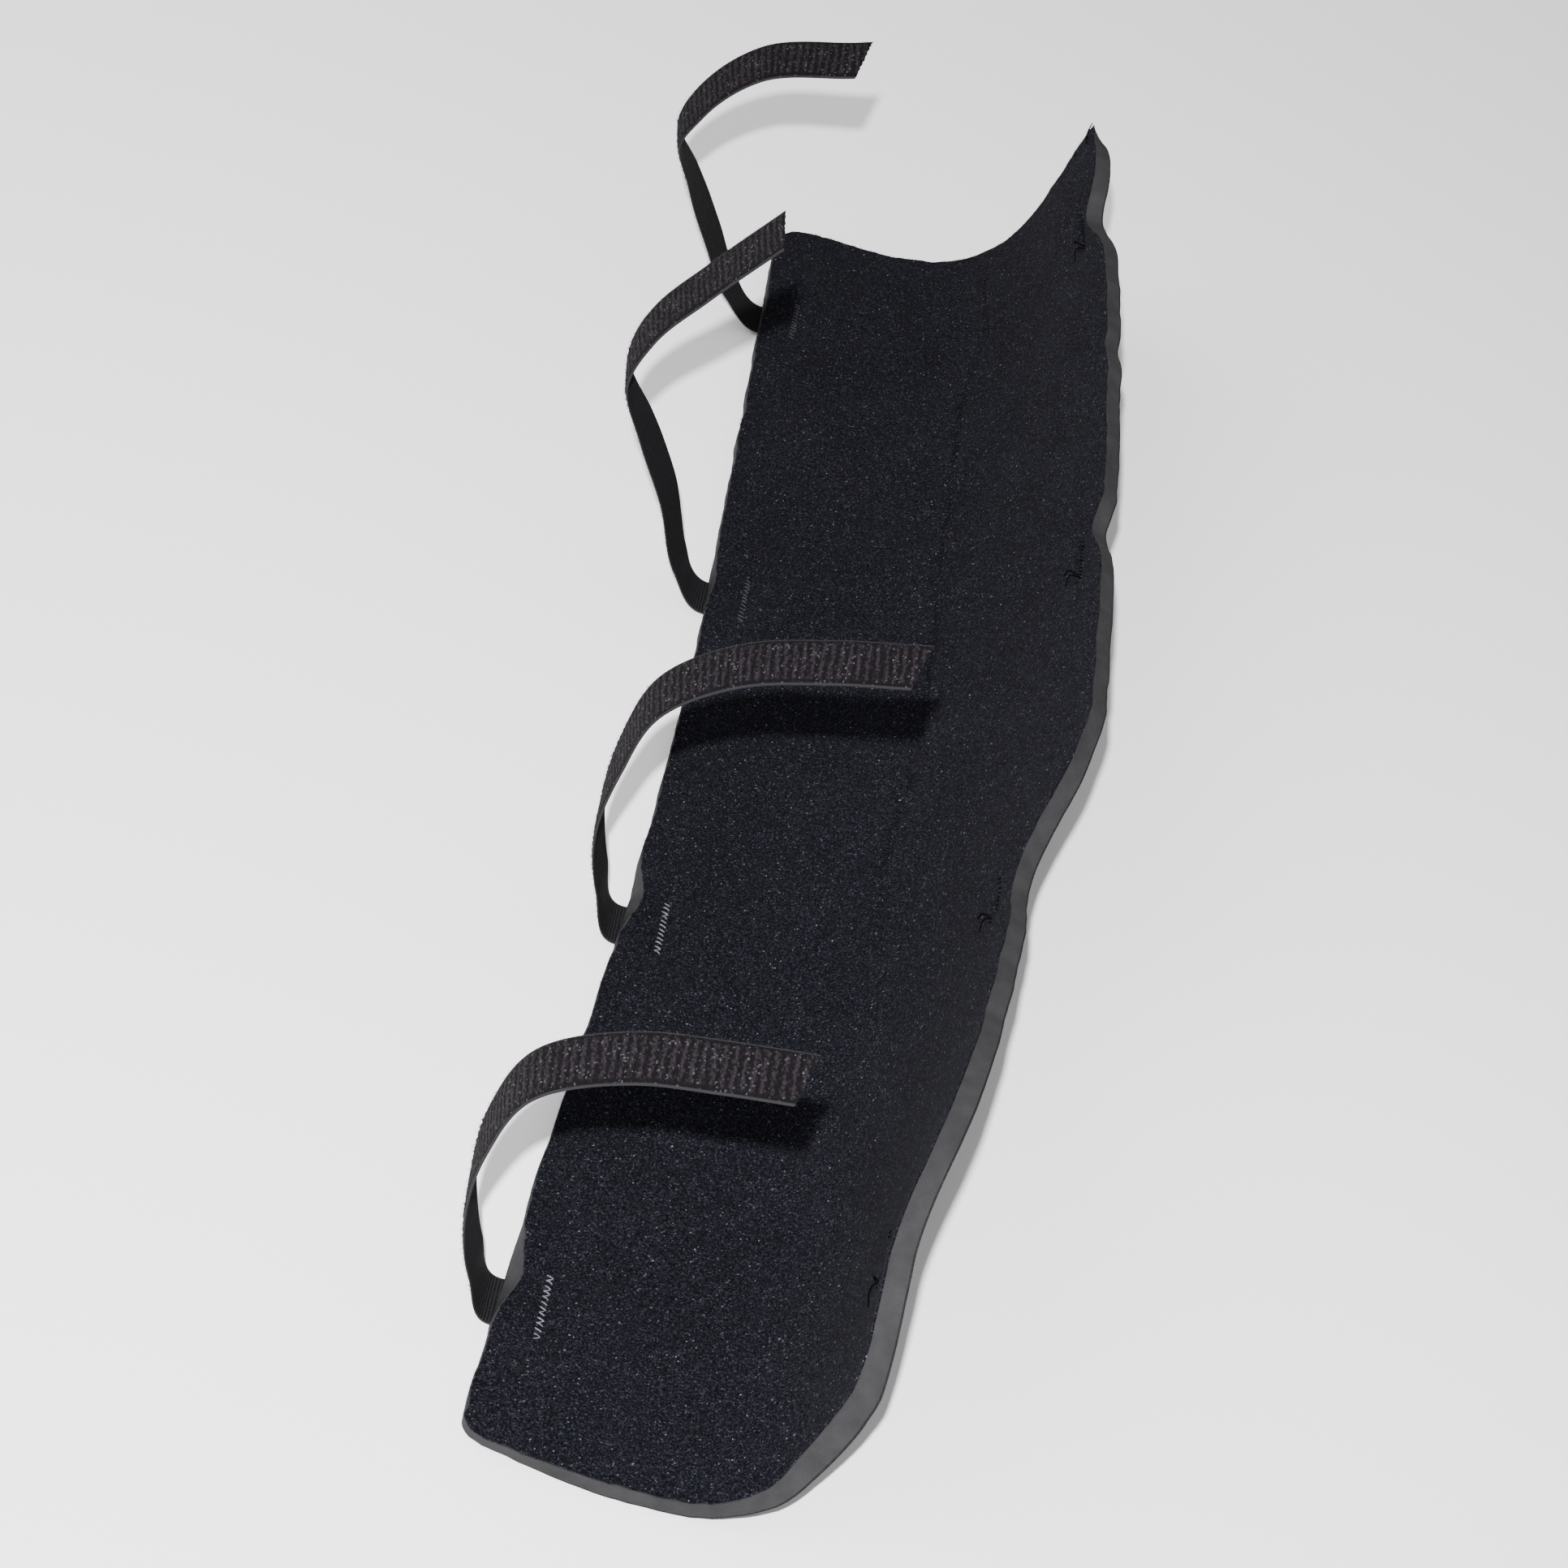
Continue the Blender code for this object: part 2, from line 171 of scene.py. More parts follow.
# Where the right edge is drawn in or nicked: (along, depth, spread); below zero it stands out.
RIGHT_PINCHES = [(367, 4.0, 12.0), (535, 7.5, 14.0), (461, 1.3, 5.0), (449, -0.7, 5.0)]
# Where the strap stitches squeeze the left edge's top corner back, so that the cut foam shows.
LEFT_SQUEEZES = [(210, 3.6, 11.0), (60, 4.2, 12.0), (366, 1.6, 9.0), (527, 1.0, 9.0)]
RIGHT_SQUEEZES = [(540, 3.2, 13.0), (369, 1.4, 9.0), (197, 0.8, 8.0)]
# The knee end's right corner was cut to a point, and the ankle end's left corner was undercut.
KNEE_TAPER, KNEE_TAPER_REACH, KNEE_FLARE = 8.5, 17.0, 2.5
UNDERCUT, UNDERCUT_FROM, UNDERCUT_REACH = 2.6, -88.0, 45.0
print("pins along the two long edges:", len(LEFT_EDGE), "and", len(RIGHT_EDGE))


# %% Smooth curves, steps and bumps
def smooth_through(points, at):
    """The smooth curve through (place, value) points, for one place or an array of them."""
    places, values = np.array(points, float).T
    slopes = np.gradient(values, places)
    at = np.clip(at, places[0], places[-1])
    i = np.clip(np.searchsorted(places, at, side="right") - 1, 0, len(places) - 2)
    run = places[i + 1] - places[i]
    t = (at - places[i]) / run
    ends = values[i] * (2 * t**3 - 3 * t**2 + 1) + values[i + 1] * (3 * t**2 - 2 * t**3)
    return ends + run * slopes[i] * (t**3 - 2 * t**2 + t) + run * slopes[i + 1] * (t**3 - t**2)


def smooth_step(x):
    """Rises from 0 to 1 with a soft start and a soft end."""
    x = np.clip(x, 0, 1)
    return x * x * (3 - 2 * x)


def bump_at(x, centre, spread):
    return np.exp(-(((x - centre) / spread) ** 2))


print("a soft step is", smooth_step(0.25), "up after a quarter of its width")


# %% The two long edges
def round_off(along, radius):
    """How far a rounded corner pulls an edge in, at a distance from the sheet's end."""
    inside = np.clip(along, 0, radius)
    return radius - np.sqrt(radius**2 - (radius - inside) ** 2)


def left_edge(along):
    """Where the straps' edge lies, across the pattern."""
    edge = smooth_through(LEFT_EDGE, along)
    return edge + round_off(along, LEFT_ANKLE_ROUND) + round_off(LENGTH - along, LEFT_KNEE_ROUND)


def right_edge(along):
    """Where the turned-up wing's edge lies, across the pattern."""
    edge = smooth_through(RIGHT_EDGE, along) - round_off(LENGTH - along, RIGHT_KNEE_ROUND)
    for place, depth, spread in RIGHT_PINCHES:
        edge = edge - depth * bump_at(along, place, spread)
    return edge


HALF_WAY = LENGTH / 2
wide = right_edge(HALF_WAY) - left_edge(HALF_WAY)
print("sheet is", LENGTH, "mm long and", round(float(wide), 1), "mm wide half way")

# %% [markdown]
# ## The bend
# The turned-up wing leans by a different angle at each end, and the turn is spread over a soft band
# instead of a sharp fold. Walking across the sheet in small steps and adding up the direction of each
# step keeps every width true, so the cloth is never stretched.

# %% Bend a flat place into the gutter
X_ORIGIN, Y_ORIGIN = 35.9, -288.3
TURN_ANKLE, TURN_MIDDLE, TURN_KNEE = 104.0, 59.0, 78.5
ANKLE_FLARE, FLARE_REACH = 14.0, 30.0
TURN_HALF_BAND, FLAT_START = 44.0, -80.0
WALK_STEPS = 48


def turn_at(along):
    """The whole turn between the two wings, in radians: a smooth sag between three angles."""
    t = along / LENGTH
    sag = TURN_MIDDLE - (TURN_ANKLE + TURN_KNEE) / 2
    turn = TURN_ANKLE + (TURN_KNEE - TURN_ANKLE) * t + sag * 4 * t * (1 - t)
    return np.radians(turn - ANKLE_FLARE * np.exp(-((along / FLARE_REACH) ** 2)))


def lean_at(along, across):
    """The angle of the sheet's surface above the flat wing."""
    part = across / (2 * TURN_HALF_BAND) + 0.5
    return turn_at(along) * smooth_step(part)


def face_point(along, across):
    """Places on the lining's face, in millimetres."""
    reach = across - FLAT_START
    x, z = np.zeros_like(along), np.zeros_like(along)
    for k in range(WALK_STEPS):
        lean = lean_at(along, FLAT_START + reach * (k + 0.5) / WALK_STEPS)
        x = x + np.cos(lean) / WALK_STEPS
        z = z + np.sin(lean) / WALK_STEPS
    return np.stack([X_ORIGIN + FLAT_START + reach * x, along + Y_ORIGIN, THICK + reach * z], 1)


def face_out(along, across):
    """Unit vectors along the sheet, across it, and out of the lining."""
    forward = face_point(along + 0.5, across) - face_point(along - 0.5, across)
    lean = lean_at(along, across)
    sideways = np.stack([np.cos(lean), np.zeros_like(lean), np.sin(lean)], 1)
    out = np.cross(sideways, forward)
    out /= np.linalg.norm(out, axis=1)[:, None]
    forward /= np.linalg.norm(forward, axis=1)[:, None]
    return forward, np.cross(forward, out), out


def bend(along, across, depth):
    """Places at a depth below the lining's face, in metres in the frame."""
    along, across, depth = (np.atleast_1d(np.asarray(v, float)) for v in (along, across, depth))
    return (face_point(along, across) - face_out(along, across)[2] * depth[:, None]) * MM


tip = bend(HALF_WAY, right_edge(HALF_WAY), 0.0)[0]
print("the turned-up wing's edge stands", round(tip[2] / MM, 1), "mm high at the middle")

# %% [markdown]
# ## What the stitches and the bend do to the sheet
# Bar tacks pull the lining down into a dimple, and squeeze a flat pocket into the cover for the tape's
# sewn end. Folding soft foam inwards leaves long shallow creases in the lining along the fold. The
# rest is a slow unevenness that any soft sheet has. All of it is one height map over the pattern.

# %% Places and depths of stitches and creases
TACK_INSET, TACK_LENGTH = 12.5, 23.0
TAPE_WIDTH, TAPE_THICK = 16.0, 1.2
ROOT_REACH, POCKET_DEPTH, POCKET_SIDE, POCKET_SLOPE = 4.5, 2.6, 4.2, 2.4
STRAP_PLACES = {"1": 520.0, "2": 359.0, "3": 201.0, "4": 51.5}
RIGHT_TACKS = {"1": (533.0, 61.8), "2": (355.5, 66.0), "3": (196.0, 53.3), "4": (55.0, 42.0)}
DEEP_TABS = "12"
FOLD_CREASE = [(180, 5.5), (244, 1.5), (292, 7.0), (371, 5.8), (433, 4.6), (490, 4.7), (517, 9.2), (566, 5.4)]
SIDE_CREASE = [(95, -13.0), (150, -10.0), (202, -6.6), (240, -7.5)]
CREASE_DEEP, CREASE_HALF_WIDTH = 0.8, 1.2
WAVE_COUNT, WAVE_SCALE = 14, 4.2
# Slow and fine unevenness of the lining: (height, size).
SLOW_SWELL, FINE_SWELL = (0.22, 62.0), (0.05, 9.0)
# Each tack: half its length, how narrow its trough is, how wide its hollow, and how deep the two go.
STRAP_DIMPLE = (11.0, 2.3, 9.0, 0.75, 0.85)
DEEP_TAB_DIMPLE, SHALLOW_TAB_DIMPLE = (9.5, 1.2, 8.0, 2.0, 1.0), (5.0, 1.2, 8.0, 1.0, 0.6)
COVER_DIMPLE = (11.0, 2.0, 10.0, 0.45, 0.35)
print("tacks:", len(STRAP_PLACES), "on the straps' edge and", len(RIGHT_TACKS), "on the turned-up wing")


# %% Unevenness
def waves(along, across, size, seed):
    """Smooth unevenness between about -1 and 1, with bumps of about this size."""
    chance = np.random.default_rng(seed)
    total = np.zeros(np.broadcast(along, across).shape)
    for _ in range(WAVE_COUNT):
        angle, shift = chance.uniform(0, 2 * math.pi, 2)
        pitch = size * chance.uniform(0.7, 1.6)
        total += np.sin((along * math.cos(angle) + across * math.sin(angle)) * 2 * math.pi / pitch + shift)
    return total / WAVE_SCALE


def row_waves(row, size, seed):
    """Smooth unevenness that changes along the sheet only."""
    return waves(row, 0.0 * row, size, seed)


swell = SLOW_SWELL[0] * row_waves(np.linspace(0, LENGTH, 200), SLOW_SWELL[1], 3)
print("the slow swell runs from", swell.min().round(2), "to", swell.max().round(2), "mm along the fold")


# %% Dimples and creases
def bar_dimple(along, across, place, line, dimple):
    """A trough along a bar of stitches with a softer hollow round it, in millimetres."""
    half_length, narrow, wide, trough_deep, hollow_deep = dimple
    past_end = np.maximum(np.abs(along - place) - half_length, 0)
    trough = np.exp(-((across - line) / narrow) ** 2 - (past_end / 2.0) ** 2)
    hollow = np.exp(-((across - line) / wide) ** 2 - (past_end / wide) ** 2)
    return trough_deep * trough + hollow_deep * hollow


def fold_creases(along, across):
    """Creases in the lining along the fold, from 0 to about 1."""
    deepest = np.zeros_like(along)
    for line, depth, seed in ((FOLD_CREASE, 1.0, 5), (SIDE_CREASE, 0.5, 6)):
        wander = across - smooth_through(line, along) + 0.5 * row_waves(along, 21.0, seed)
        ends = smooth_step((along - line[0][0]) / 30) * smooth_step((line[-1][0] - along) / 12)
        patchy = 0.65 + 0.35 * row_waves(along, 70.0, seed + 10)
        deepest = deepest + depth * ends * patchy * bump_at(wander, 0, CREASE_HALF_WIDTH)
    return deepest


dimple = bar_dimple(np.array([0.0, 20.0]), np.array([0.0, 0.0]), 0.0, 0.0, STRAP_DIMPLE)
print("a strap's dimple, at its middle and 20 mm along:", dimple.round(2), "mm")


# %% Height maps of the two faces
def lining_dip(along, across):
    """How far the lining's face lies below the plain sheet."""
    dip = 0.0
    for (height, size), seed in ((SLOW_SWELL, 3), (FINE_SWELL, 4)):
        dip = dip + height * waves(along, across, size, seed)
    for place in STRAP_PLACES.values():
        line = left_edge(np.float64(place)) + TACK_INSET
        dip = dip + bar_dimple(along, across, place, line, STRAP_DIMPLE)
    for number, (place, line) in RIGHT_TACKS.items():
        dimple = DEEP_TAB_DIMPLE if number in DEEP_TABS else SHALLOW_TAB_DIMPLE
        dip = dip + bar_dimple(along, across, place, line, dimple)
    return dip + CREASE_DEEP * fold_creases(along, across)


def cover_dip(along, across):
    """How far the cover is pressed in, towards the lining."""
    dip = np.zeros_like(along)
    for place in STRAP_PLACES.values():
        sideways = np.abs(along - place) - TAPE_WIDTH / 2 - POCKET_SIDE
        inward = across - left_edge(along) - TACK_INSET - ROOT_REACH - POCKET_SIDE
        wall = np.maximum(sideways, inward) / POCKET_SLOPE
        dip = np.maximum(dip, POCKET_DEPTH * (1 - smooth_step(wall)))
    for place, line in RIGHT_TACKS.values():
        dip = dip + bar_dimple(along, across, place, line, COVER_DIMPLE)
    return dip


def squeeze(along, across, depth):
    """A depth on the plain sheet, moved by the dips of the two faces, each fading through the foam."""
    share = depth / THICK
    return depth + (1 - share) * lining_dip(along, across) - share * cover_dip(along, across)


place = np.array([STRAP_PLACES["4"]])
pulled = lining_dip(place, left_edge(place) + TACK_INSET)[0]
print("a strap's stitches pull the lining down by", round(float(pulled), 2), "mm")

# %% [markdown]
# ## Cutting a flat blank
# Each layer starts as a grid, extruded downwards level by level into a thin block, as one would cut a
# blank from a roll. Its points are then read and written as one array, because a bend moves tens of
# thousands of them at once. The flat pattern is kept as a UV map before the blank is bent.

# %% Blanks
COLUMN_CROWDING = 0.5


def add_blank(name, rows, columns, levels):
    """A block of grid cells, 1 by 1 by 1: x runs across, y along, and its top is at z = 0."""
    bpy.ops.object.select_all(action="DESELECT")
    bpy.ops.mesh.primitive_grid_add(
        x_subdivisions=columns, y_subdivisions=rows, size=1, location=(0.5, 0.5, 0)
    )
    blank = bpy.context.object
    blank.name = name
    blank.data.name = name
    bpy.ops.object.mode_set(mode="EDIT")
    bpy.ops.mesh.select_all(action="SELECT")
    for _ in range(levels):
        bpy.ops.mesh.extrude_region_move(TRANSFORM_OT_translate={"value": (0, 0, -1 / levels)})
    bpy.ops.mesh.select_all(action="SELECT")
    bpy.ops.mesh.normals_make_consistent(inside=False)
    bpy.ops.object.mode_set(mode="OBJECT")
    bpy.ops.object.transform_apply(location=True, rotation=True, scale=True)
    return blank


print("a blank's columns crowd the edges by", COLUMN_CROWDING)


# %% Reading and writing many points at once
def read(items, key, width=1, kind=np.float32):
    """One value, or one row of values, for each item of a mesh."""
    flat = np.zeros(len(items) * width, kind)
    items.foreach_get(key, flat)
    return flat.reshape(-1, width) if width > 1 else flat


def read_points(piece):
    return read(piece.data.vertices, "co", 3).astype(float)


def write_points(piece, points):
    piece.data.vertices.foreach_set("co", np.asarray(points, np.float32).ravel())
    piece.data.update()


def write_pattern_uv(piece, across, along):
    """A UV map in metres on the flat pattern, so that a weave keeps its size round the bend."""
    loops = read(piece.data.loops, "vertex_index", kind=np.int32)
    uv = np.stack([across[loops], along[loops]], 1) * MM
    layer = piece.data.uv_layers[0] if piece.data.uv_layers else piece.data.uv_layers.new()
    layer.name = "pattern"
    layer.data.foreach_set("uv", uv.astype(np.float32).ravel())


print("the floor's corners, read back:", read_points(floor)[:, :2].tolist())


# %% Picking, shading and crowding
def pick(piece):
    """Selects one piece and nothing else."""
    bpy.ops.object.select_all(action="DESELECT")
    piece.select_set(True)
    bpy.context.view_layer.objects.active = piece


def shade(piece, degrees):
    pick(piece)
    bpy.ops.object.shade_smooth_by_angle(angle=math.radians(degrees))


def crowd_edges(share, fineness):
    """Moves grid lines towards both edges, where the detail is."""
    return share - fineness * np.sin(2 * math.pi * share) / (2 * math.pi)


first_quarter = crowd_edges(0.25, COLUMN_CROWDING)
print("a quarter of a grid's columns lie in the first", round(float(first_quarter), 3), "of its width")

# %% [markdown]
# ## Laying the blank out to the pattern
# The grid's rows run from end to end, and near the ankle they lift to follow the curved cut, less and
# less with distance. Columns run between the two edges, each drawn in where stitches squeeze it. A
# boolean cut would leave ragged faces at the edge, and a grid that follows the outline leaves none.

# %% Lay out and bend a layer
ROW_CROWDING = 0.25
TRIM_REACH = 6.0  # how far from an end its trim still moves the rows
SMOOTH_BELOW = 38  # degrees: an edge with a smaller turn than this is shaded smooth


def lay_out(unit, top, bottom, trim):
    """Where a blank's points lie on the pattern: arrays of along, across and depth."""
    row = crowd_edges(unit[:, 1], ROW_CROWDING) * LENGTH
    depth = top - unit[:, 2] * (bottom - top)
    share = 1 - depth / THICK
    fade = np.maximum(1 - row / ANKLE_FADE, 0) ** 2
    left = left_edge(row) + trim(row, 1)
    for place, reach, spread in LEFT_SQUEEZES:
        left = left + reach * share * bump_at(row, place, spread)
    right = right_edge(row + ANKLE_EDGE[-1][1] * fade) - trim(row, 2)
    right = right - CUT_LEAN * share * smooth_step((LEAN_END - row) / (LEAN_END - LEAN_FULL))
    for place, reach, spread in RIGHT_SQUEEZES:
        right = right - reach * share * bump_at(row, place, spread)
    knee = np.clip((row - LENGTH + KNEE_TAPER_REACH) / KNEE_TAPER_REACH, 0, 1)
    right = right - KNEE_TAPER * (1 - share) * (1 - np.sqrt(1 - knee**2)) + KNEE_FLARE * share * knee**3
    across = left + (right - left) * crowd_edges(unit[:, 0], COLUMN_CROWDING)
    leaning = smooth_step((across - LEAN_START_ACROSS) / (LEAN_FULL_ACROSS - LEAN_START_ACROSS))
    undercut = 1 - smooth_step((across - UNDERCUT_FROM) / UNDERCUT_REACH)
    lift = smooth_through(ANKLE_EDGE, across) + CUT_LEAN * share * leaning
    lift = lift + UNDERCUT * (1 - share) * undercut
    inset = trim(across, 3) * np.maximum(1 - row / TRIM_REACH, 0)
    inset = inset - trim(across, 4) * np.maximum(1 - (LENGTH - row) / TRIM_REACH, 0)
    return row + lift * fade + inset, across, depth


def make_layer(name, rows, columns, levels, top, bottom, trim):
    """A whole layer of the sheet, between two depths, cut and bent."""
    layer = add_blank(name, rows, columns, levels)
    unit = read_points(layer)
    along, across, depth = lay_out(unit, top, bottom, trim)
    write_pattern_uv(layer, across, along)
    write_points(layer, bend(along, across, squeeze(along, across, depth)))
    shade(layer, SMOOTH_BELOW)
    low, high = read_points(layer).min(0), read_points(layer).max(0)
    print(name, len(layer.data.polygons), "faces, box in mm", (low / MM).round(1), (high / MM).round(1))
    return layer


print("the knife leans", CUT_LEAN, "mm at the ankle corner")

# %% [markdown]
# ## The foam
# The core is closed-cell foam, 5.6 mm with its glue. It shows only where it was cut, so the blank gets
# several levels: the cut face leans and twists from level to level as the knife tilts and the stitches
# squeeze it, and the knife's wander moves whole stretches of it. A straight wall would be simpler, but
# an uneven cut that catches the light in some places only is what makes foam read as foam.

# %% Foam core
FOAM_ROWS, FOAM_COLUMNS, FOAM_LEVELS = 330, 64, 5


def knife_wander(row, side):
    """How far inside the drawn line the knife ran."""
    return 0.28 * row_waves(row, 24.0, 20 + side) + 0.1 * row_waves(row, 7.0, 30 + side)


foam = make_layer("foam", FOAM_ROWS, FOAM_COLUMNS, FOAM_LEVELS, LINING_BACK, COVER_FRONT, knife_wander)

# %% [markdown]
# ## The lining
# The lining is a brushed cloth glued over the foam. Its nap frays where it was cut, so its edge is
# trimmed back by an uneven fraction of a millimetre, row by row. A finer grid than the foam's carries
# the creases and the dimples.

# %% Lining
LINING_ROWS, LINING_COLUMNS, LINING_TRIM = 430, 104, 0.35
GLUE_GAP = 0.02


def frayed_trim(row, side):
    """The lining ends a little short of the foam, unevenly."""
    ragged = 0.17 * row_waves(row, 3.1, 40 + side) + 0.2 * row_waves(row, 11.0, 50 + side)
    return knife_wander(row, side) + LINING_TRIM + ragged


lining = make_layer("lining", LINING_ROWS, LINING_COLUMNS, 1, 0.0, LINING_BACK - GLUE_GAP, frayed_trim)
uv = read(lining.data.uv_layers["pattern"].data, "uv", 2)
corner_along, corner_across = uv[:, ::-1].T.astype(float) / MM
# The crease depth is stored on the lining so that its material can paint shade along the creases.
crease = lining.data.attributes.new("crease", "FLOAT", "CORNER")
creases = fold_creases(corner_along, corner_across)
crease.data.foreach_set("value", creases.astype(np.float32))
print("deepest crease:", round(CREASE_DEEP * float(creases.max()), 2), "mm")

# %% [markdown]
# ## The outer cover
# The outside is one thin plain cloth, flush with the knife's cut, so it takes the foam's grid and trim.
# The pockets for the tape's sewn ends and the pull of the tabs' stitches come from the same height map.

# %% Outer cover
cover = make_layer("cover", FOAM_ROWS, FOAM_COLUMNS, 1, COVER_FRONT + GLUE_GAP, THICK, knife_wander)

# %% [markdown]
# ## Strap tape
# Each strap is one length of loop tape: a woven ground with a smooth selvage along each edge, and a
# brushed pile in cross ribs on its outer face. It starts in its sewn root, leaves the wing's edge, and
# curls up and over. The ribs are pushed out of the mesh itself, because they break the outline of the
# strap. Its cut end is a little slanted, as scissors leave it. First comes the line of each curl.

# %% The tape and its four curls
RIB_PITCH, RIB_HEIGHT, SELVAGE = 2.6, 0.34, 1.0
ROW_PITCH, TAPE_COLUMNS, LINE_STEPS = 0.44, 26, 1200
HINGE_OUT = 1.6
STRAP_CURLS = {
    "1": [(-91, 7), (-102, 26), (-115, 49), (-123.5, 65), (-119, 80), (-102, 102), (-70, 114.5)],
    "2": [(-86, 9), (-97, 36), (-109, 59), (-117.5, 79), (-113, 99), (-100, 121), (-82, 148)],
    "3": [(-86, 14), (-91.5, 36), (-91, 66), (-85, 92), (-66, 111.5), (-42, 122), (-18, 129)],
    "4": [(-95, 12), (-101, 36), (-101.5, 66), (-94, 92), (-70, 108.5), (-48, 113.5), (-26, 117)],
}
END_SLANT = {"1": 5.0, "2": 1.0, "3": 5.0, "4": 4.5}
END_EXTRA = {"1": 4.5, "2": 0.5, "3": 3.5, "4": 0.3}
# How a strap twists on its way, in degrees: (rising part, arch, where it turns, the line it twists about).
STRAP_TWIST = {"1": (-9, 16, 94, 0.0), "2": (-9, 13, 107, 8.0), "3": (-3, 10, 75, 0.0), "4": (-2, 9, 73, 0.0)}
TWIST_START, TWIST_RISE, TURN_SPREAD = 24, 25, 50
CUP_DEPTH, CUP_START = 0.25, 30
SKIN_DROP, SELVAGE_DROP = 0.12, 0.24  # how much thinner than the stock tape its ground and selvage are
END_FRAY, TAPE_SMOOTH_BELOW = 0.16, 60
PILE_LEVEL = 0.4  # a point above this level of the blank, from -0.5 to 0.5, belongs to the pile's face
HINGES = {joint["name"].split("_")[1]: np.array(joint["pos_m"]) / MM for joint in frame["joints"]}


def strap_line(number):
    """Points of the strap's middle line from the root's end to past the cut, as (x, z) in mm."""
    hinge = HINGES[number]
    root = HINGE_OUT + TACK_INSET + ROOT_REACH
    corners = [(hinge[0] + d, hinge[2]) for d in (root, root / 2, 3.0, 0.6)]
    corners += [(X_ORIGIN + x, THICK + z) for x, z in STRAP_CURLS[number]]
    corners = np.array(corners)
    steps = np.r_[0, np.cumsum(np.hypot(*np.diff(corners, axis=0).T))]
    fine = np.linspace(0, steps[-1], LINE_STEPS)
    line = np.stack([smooth_through(np.c_[steps, corners[:, k]], fine) for k in (0, 1)], 1)
    travel = np.r_[0, np.cumsum(np.hypot(*np.diff(line, axis=0).T))]
    return travel, line


for number in STRAP_CURLS:
    print("strap", number, "follows", round(strap_line(number)[0][-1], 1), "mm of line, with its root")

# %% [markdown]
# ## From a blank to a strap
# The same blank as for the layers is laid along that line: rows follow it, columns run across the tape,
# and levels stand out from it. The pile, the thin selvage, a slight cupping and the twist are each a
# small lift added to a point before it is placed. The pile's height is stored for the material.

# %% Straps
def pile_height(along, across, seed):
    """Height of the brushed pile: cross ribs of loops that lean and wander, and none on the selvage."""
    chance = np.random.default_rng(seed)
    wander = 0.1 * waves(along, across, 16.0, seed + 1) + 0.05 * waves(along, across, 3.0, seed + 3)
    phase = along / RIB_PITCH + wander
    rib = (0.5 + 0.5 * np.cos(2 * math.pi * phase)) ** 0.8
    loops = 0.3 * waves(along, across, 1.3, seed + 2) + chance.normal(0, 0.2, len(along))
    inside = smooth_step((TAPE_WIDTH / 2 - SELVAGE - np.abs(across)) / 0.7)
    return inside * np.clip(0.12 + rib * 0.8 + loops, 0, 1.3)


def make_strap(number):
    """One length of tape, from its sewn root to its cut end, with ribs, twist and a frayed end."""
    travel, line = strap_line(number)
    strap = add_blank(f"tape_strap_{number}", round(travel[-1] / ROW_PITCH), TAPE_COLUMNS, 2)
    unit = read_points(strap)
    across = (0.5 - unit[:, 0]) * TAPE_WIDTH
    end = travel[-1] + END_EXTRA[number] - END_SLANT[number] * (0.45 - across / TAPE_WIDTH)
    fray = np.random.default_rng(60 + int(number)).normal(0, END_FRAY, len(unit))
    end = end + fray * (unit[:, 1] > 0.999)
    along = unit[:, 1] * end
    x, z = (np.interp(along, travel, line[:, k]) for k in (0, 1))
    slope = np.gradient(line, travel, axis=0)
    slope = np.stack([np.interp(along, travel, slope[:, k]) for k in (0, 1)], 1)
    slope /= np.linalg.norm(slope, axis=1)[:, None]
    past_tip = np.maximum(along - travel[-1], 0)
    outwards = np.stack([-slope[:, 1], slope[:, 0]], 1)
    pile = pile_height(along, across, 70 + int(number))
    edge = smooth_step((np.abs(across) - TAPE_WIDTH / 2 + SELVAGE) / SELVAGE)
    level = unit[:, 2] + 0.5
    half = TAPE_THICK / 2 - SKIN_DROP - SELVAGE_DROP * edge
    lift = level * 2 * half + np.where(level > PILE_LEVEL, RIB_HEIGHT * (pile - 0.35), 0)
    freed = smooth_step((along - CUP_START) / CUP_START)
    lift = lift - CUP_DEPTH * freed * (across / (TAPE_WIDTH / 2)) ** 2
    rising, arch, turn, pivot = STRAP_TWIST[number]
    over = smooth_step((along - turn) / TURN_SPREAD + 0.5)
    twist = rising * smooth_step((along - TWIST_START) / TWIST_RISE) * (1 - over) + arch * over
    lift = lift + (across + pivot) * np.tan(np.radians(twist))
    points = np.stack([
        x + slope[:, 0] * past_tip + outwards[:, 0] * lift,
        HINGES[number][1] + across,
        z + slope[:, 1] * past_tip + outwards[:, 1] * lift,
    ], 1)
    write_pattern_uv(strap, across, along)
    for name, values in (("crest", pile), ("level", level)):
        strap.data.attributes.new(name, "FLOAT", "POINT").data.foreach_set("value", values.astype(np.float32))
    write_points(strap, points * MM)
    shade(strap, TAPE_SMOOTH_BELOW)
    print(strap.name, "has", len(strap.data.polygons), "faces")
    return strap


straps = {number: make_strap(number) for number in STRAP_PLACES}

# %% [markdown]
# ## Fuzz on the pile
# Loops that have caught on hooks stand up as loose fibres, and they soften the outline of the tape.
# Each is a thin stub of three rings, and a few faces are enough, because there are thousands. Copying
# an object that often would be slow, so one helper writes all the stubs into one mesh, round lines
# that it is given. The nap and the hooks further down are made with it too.

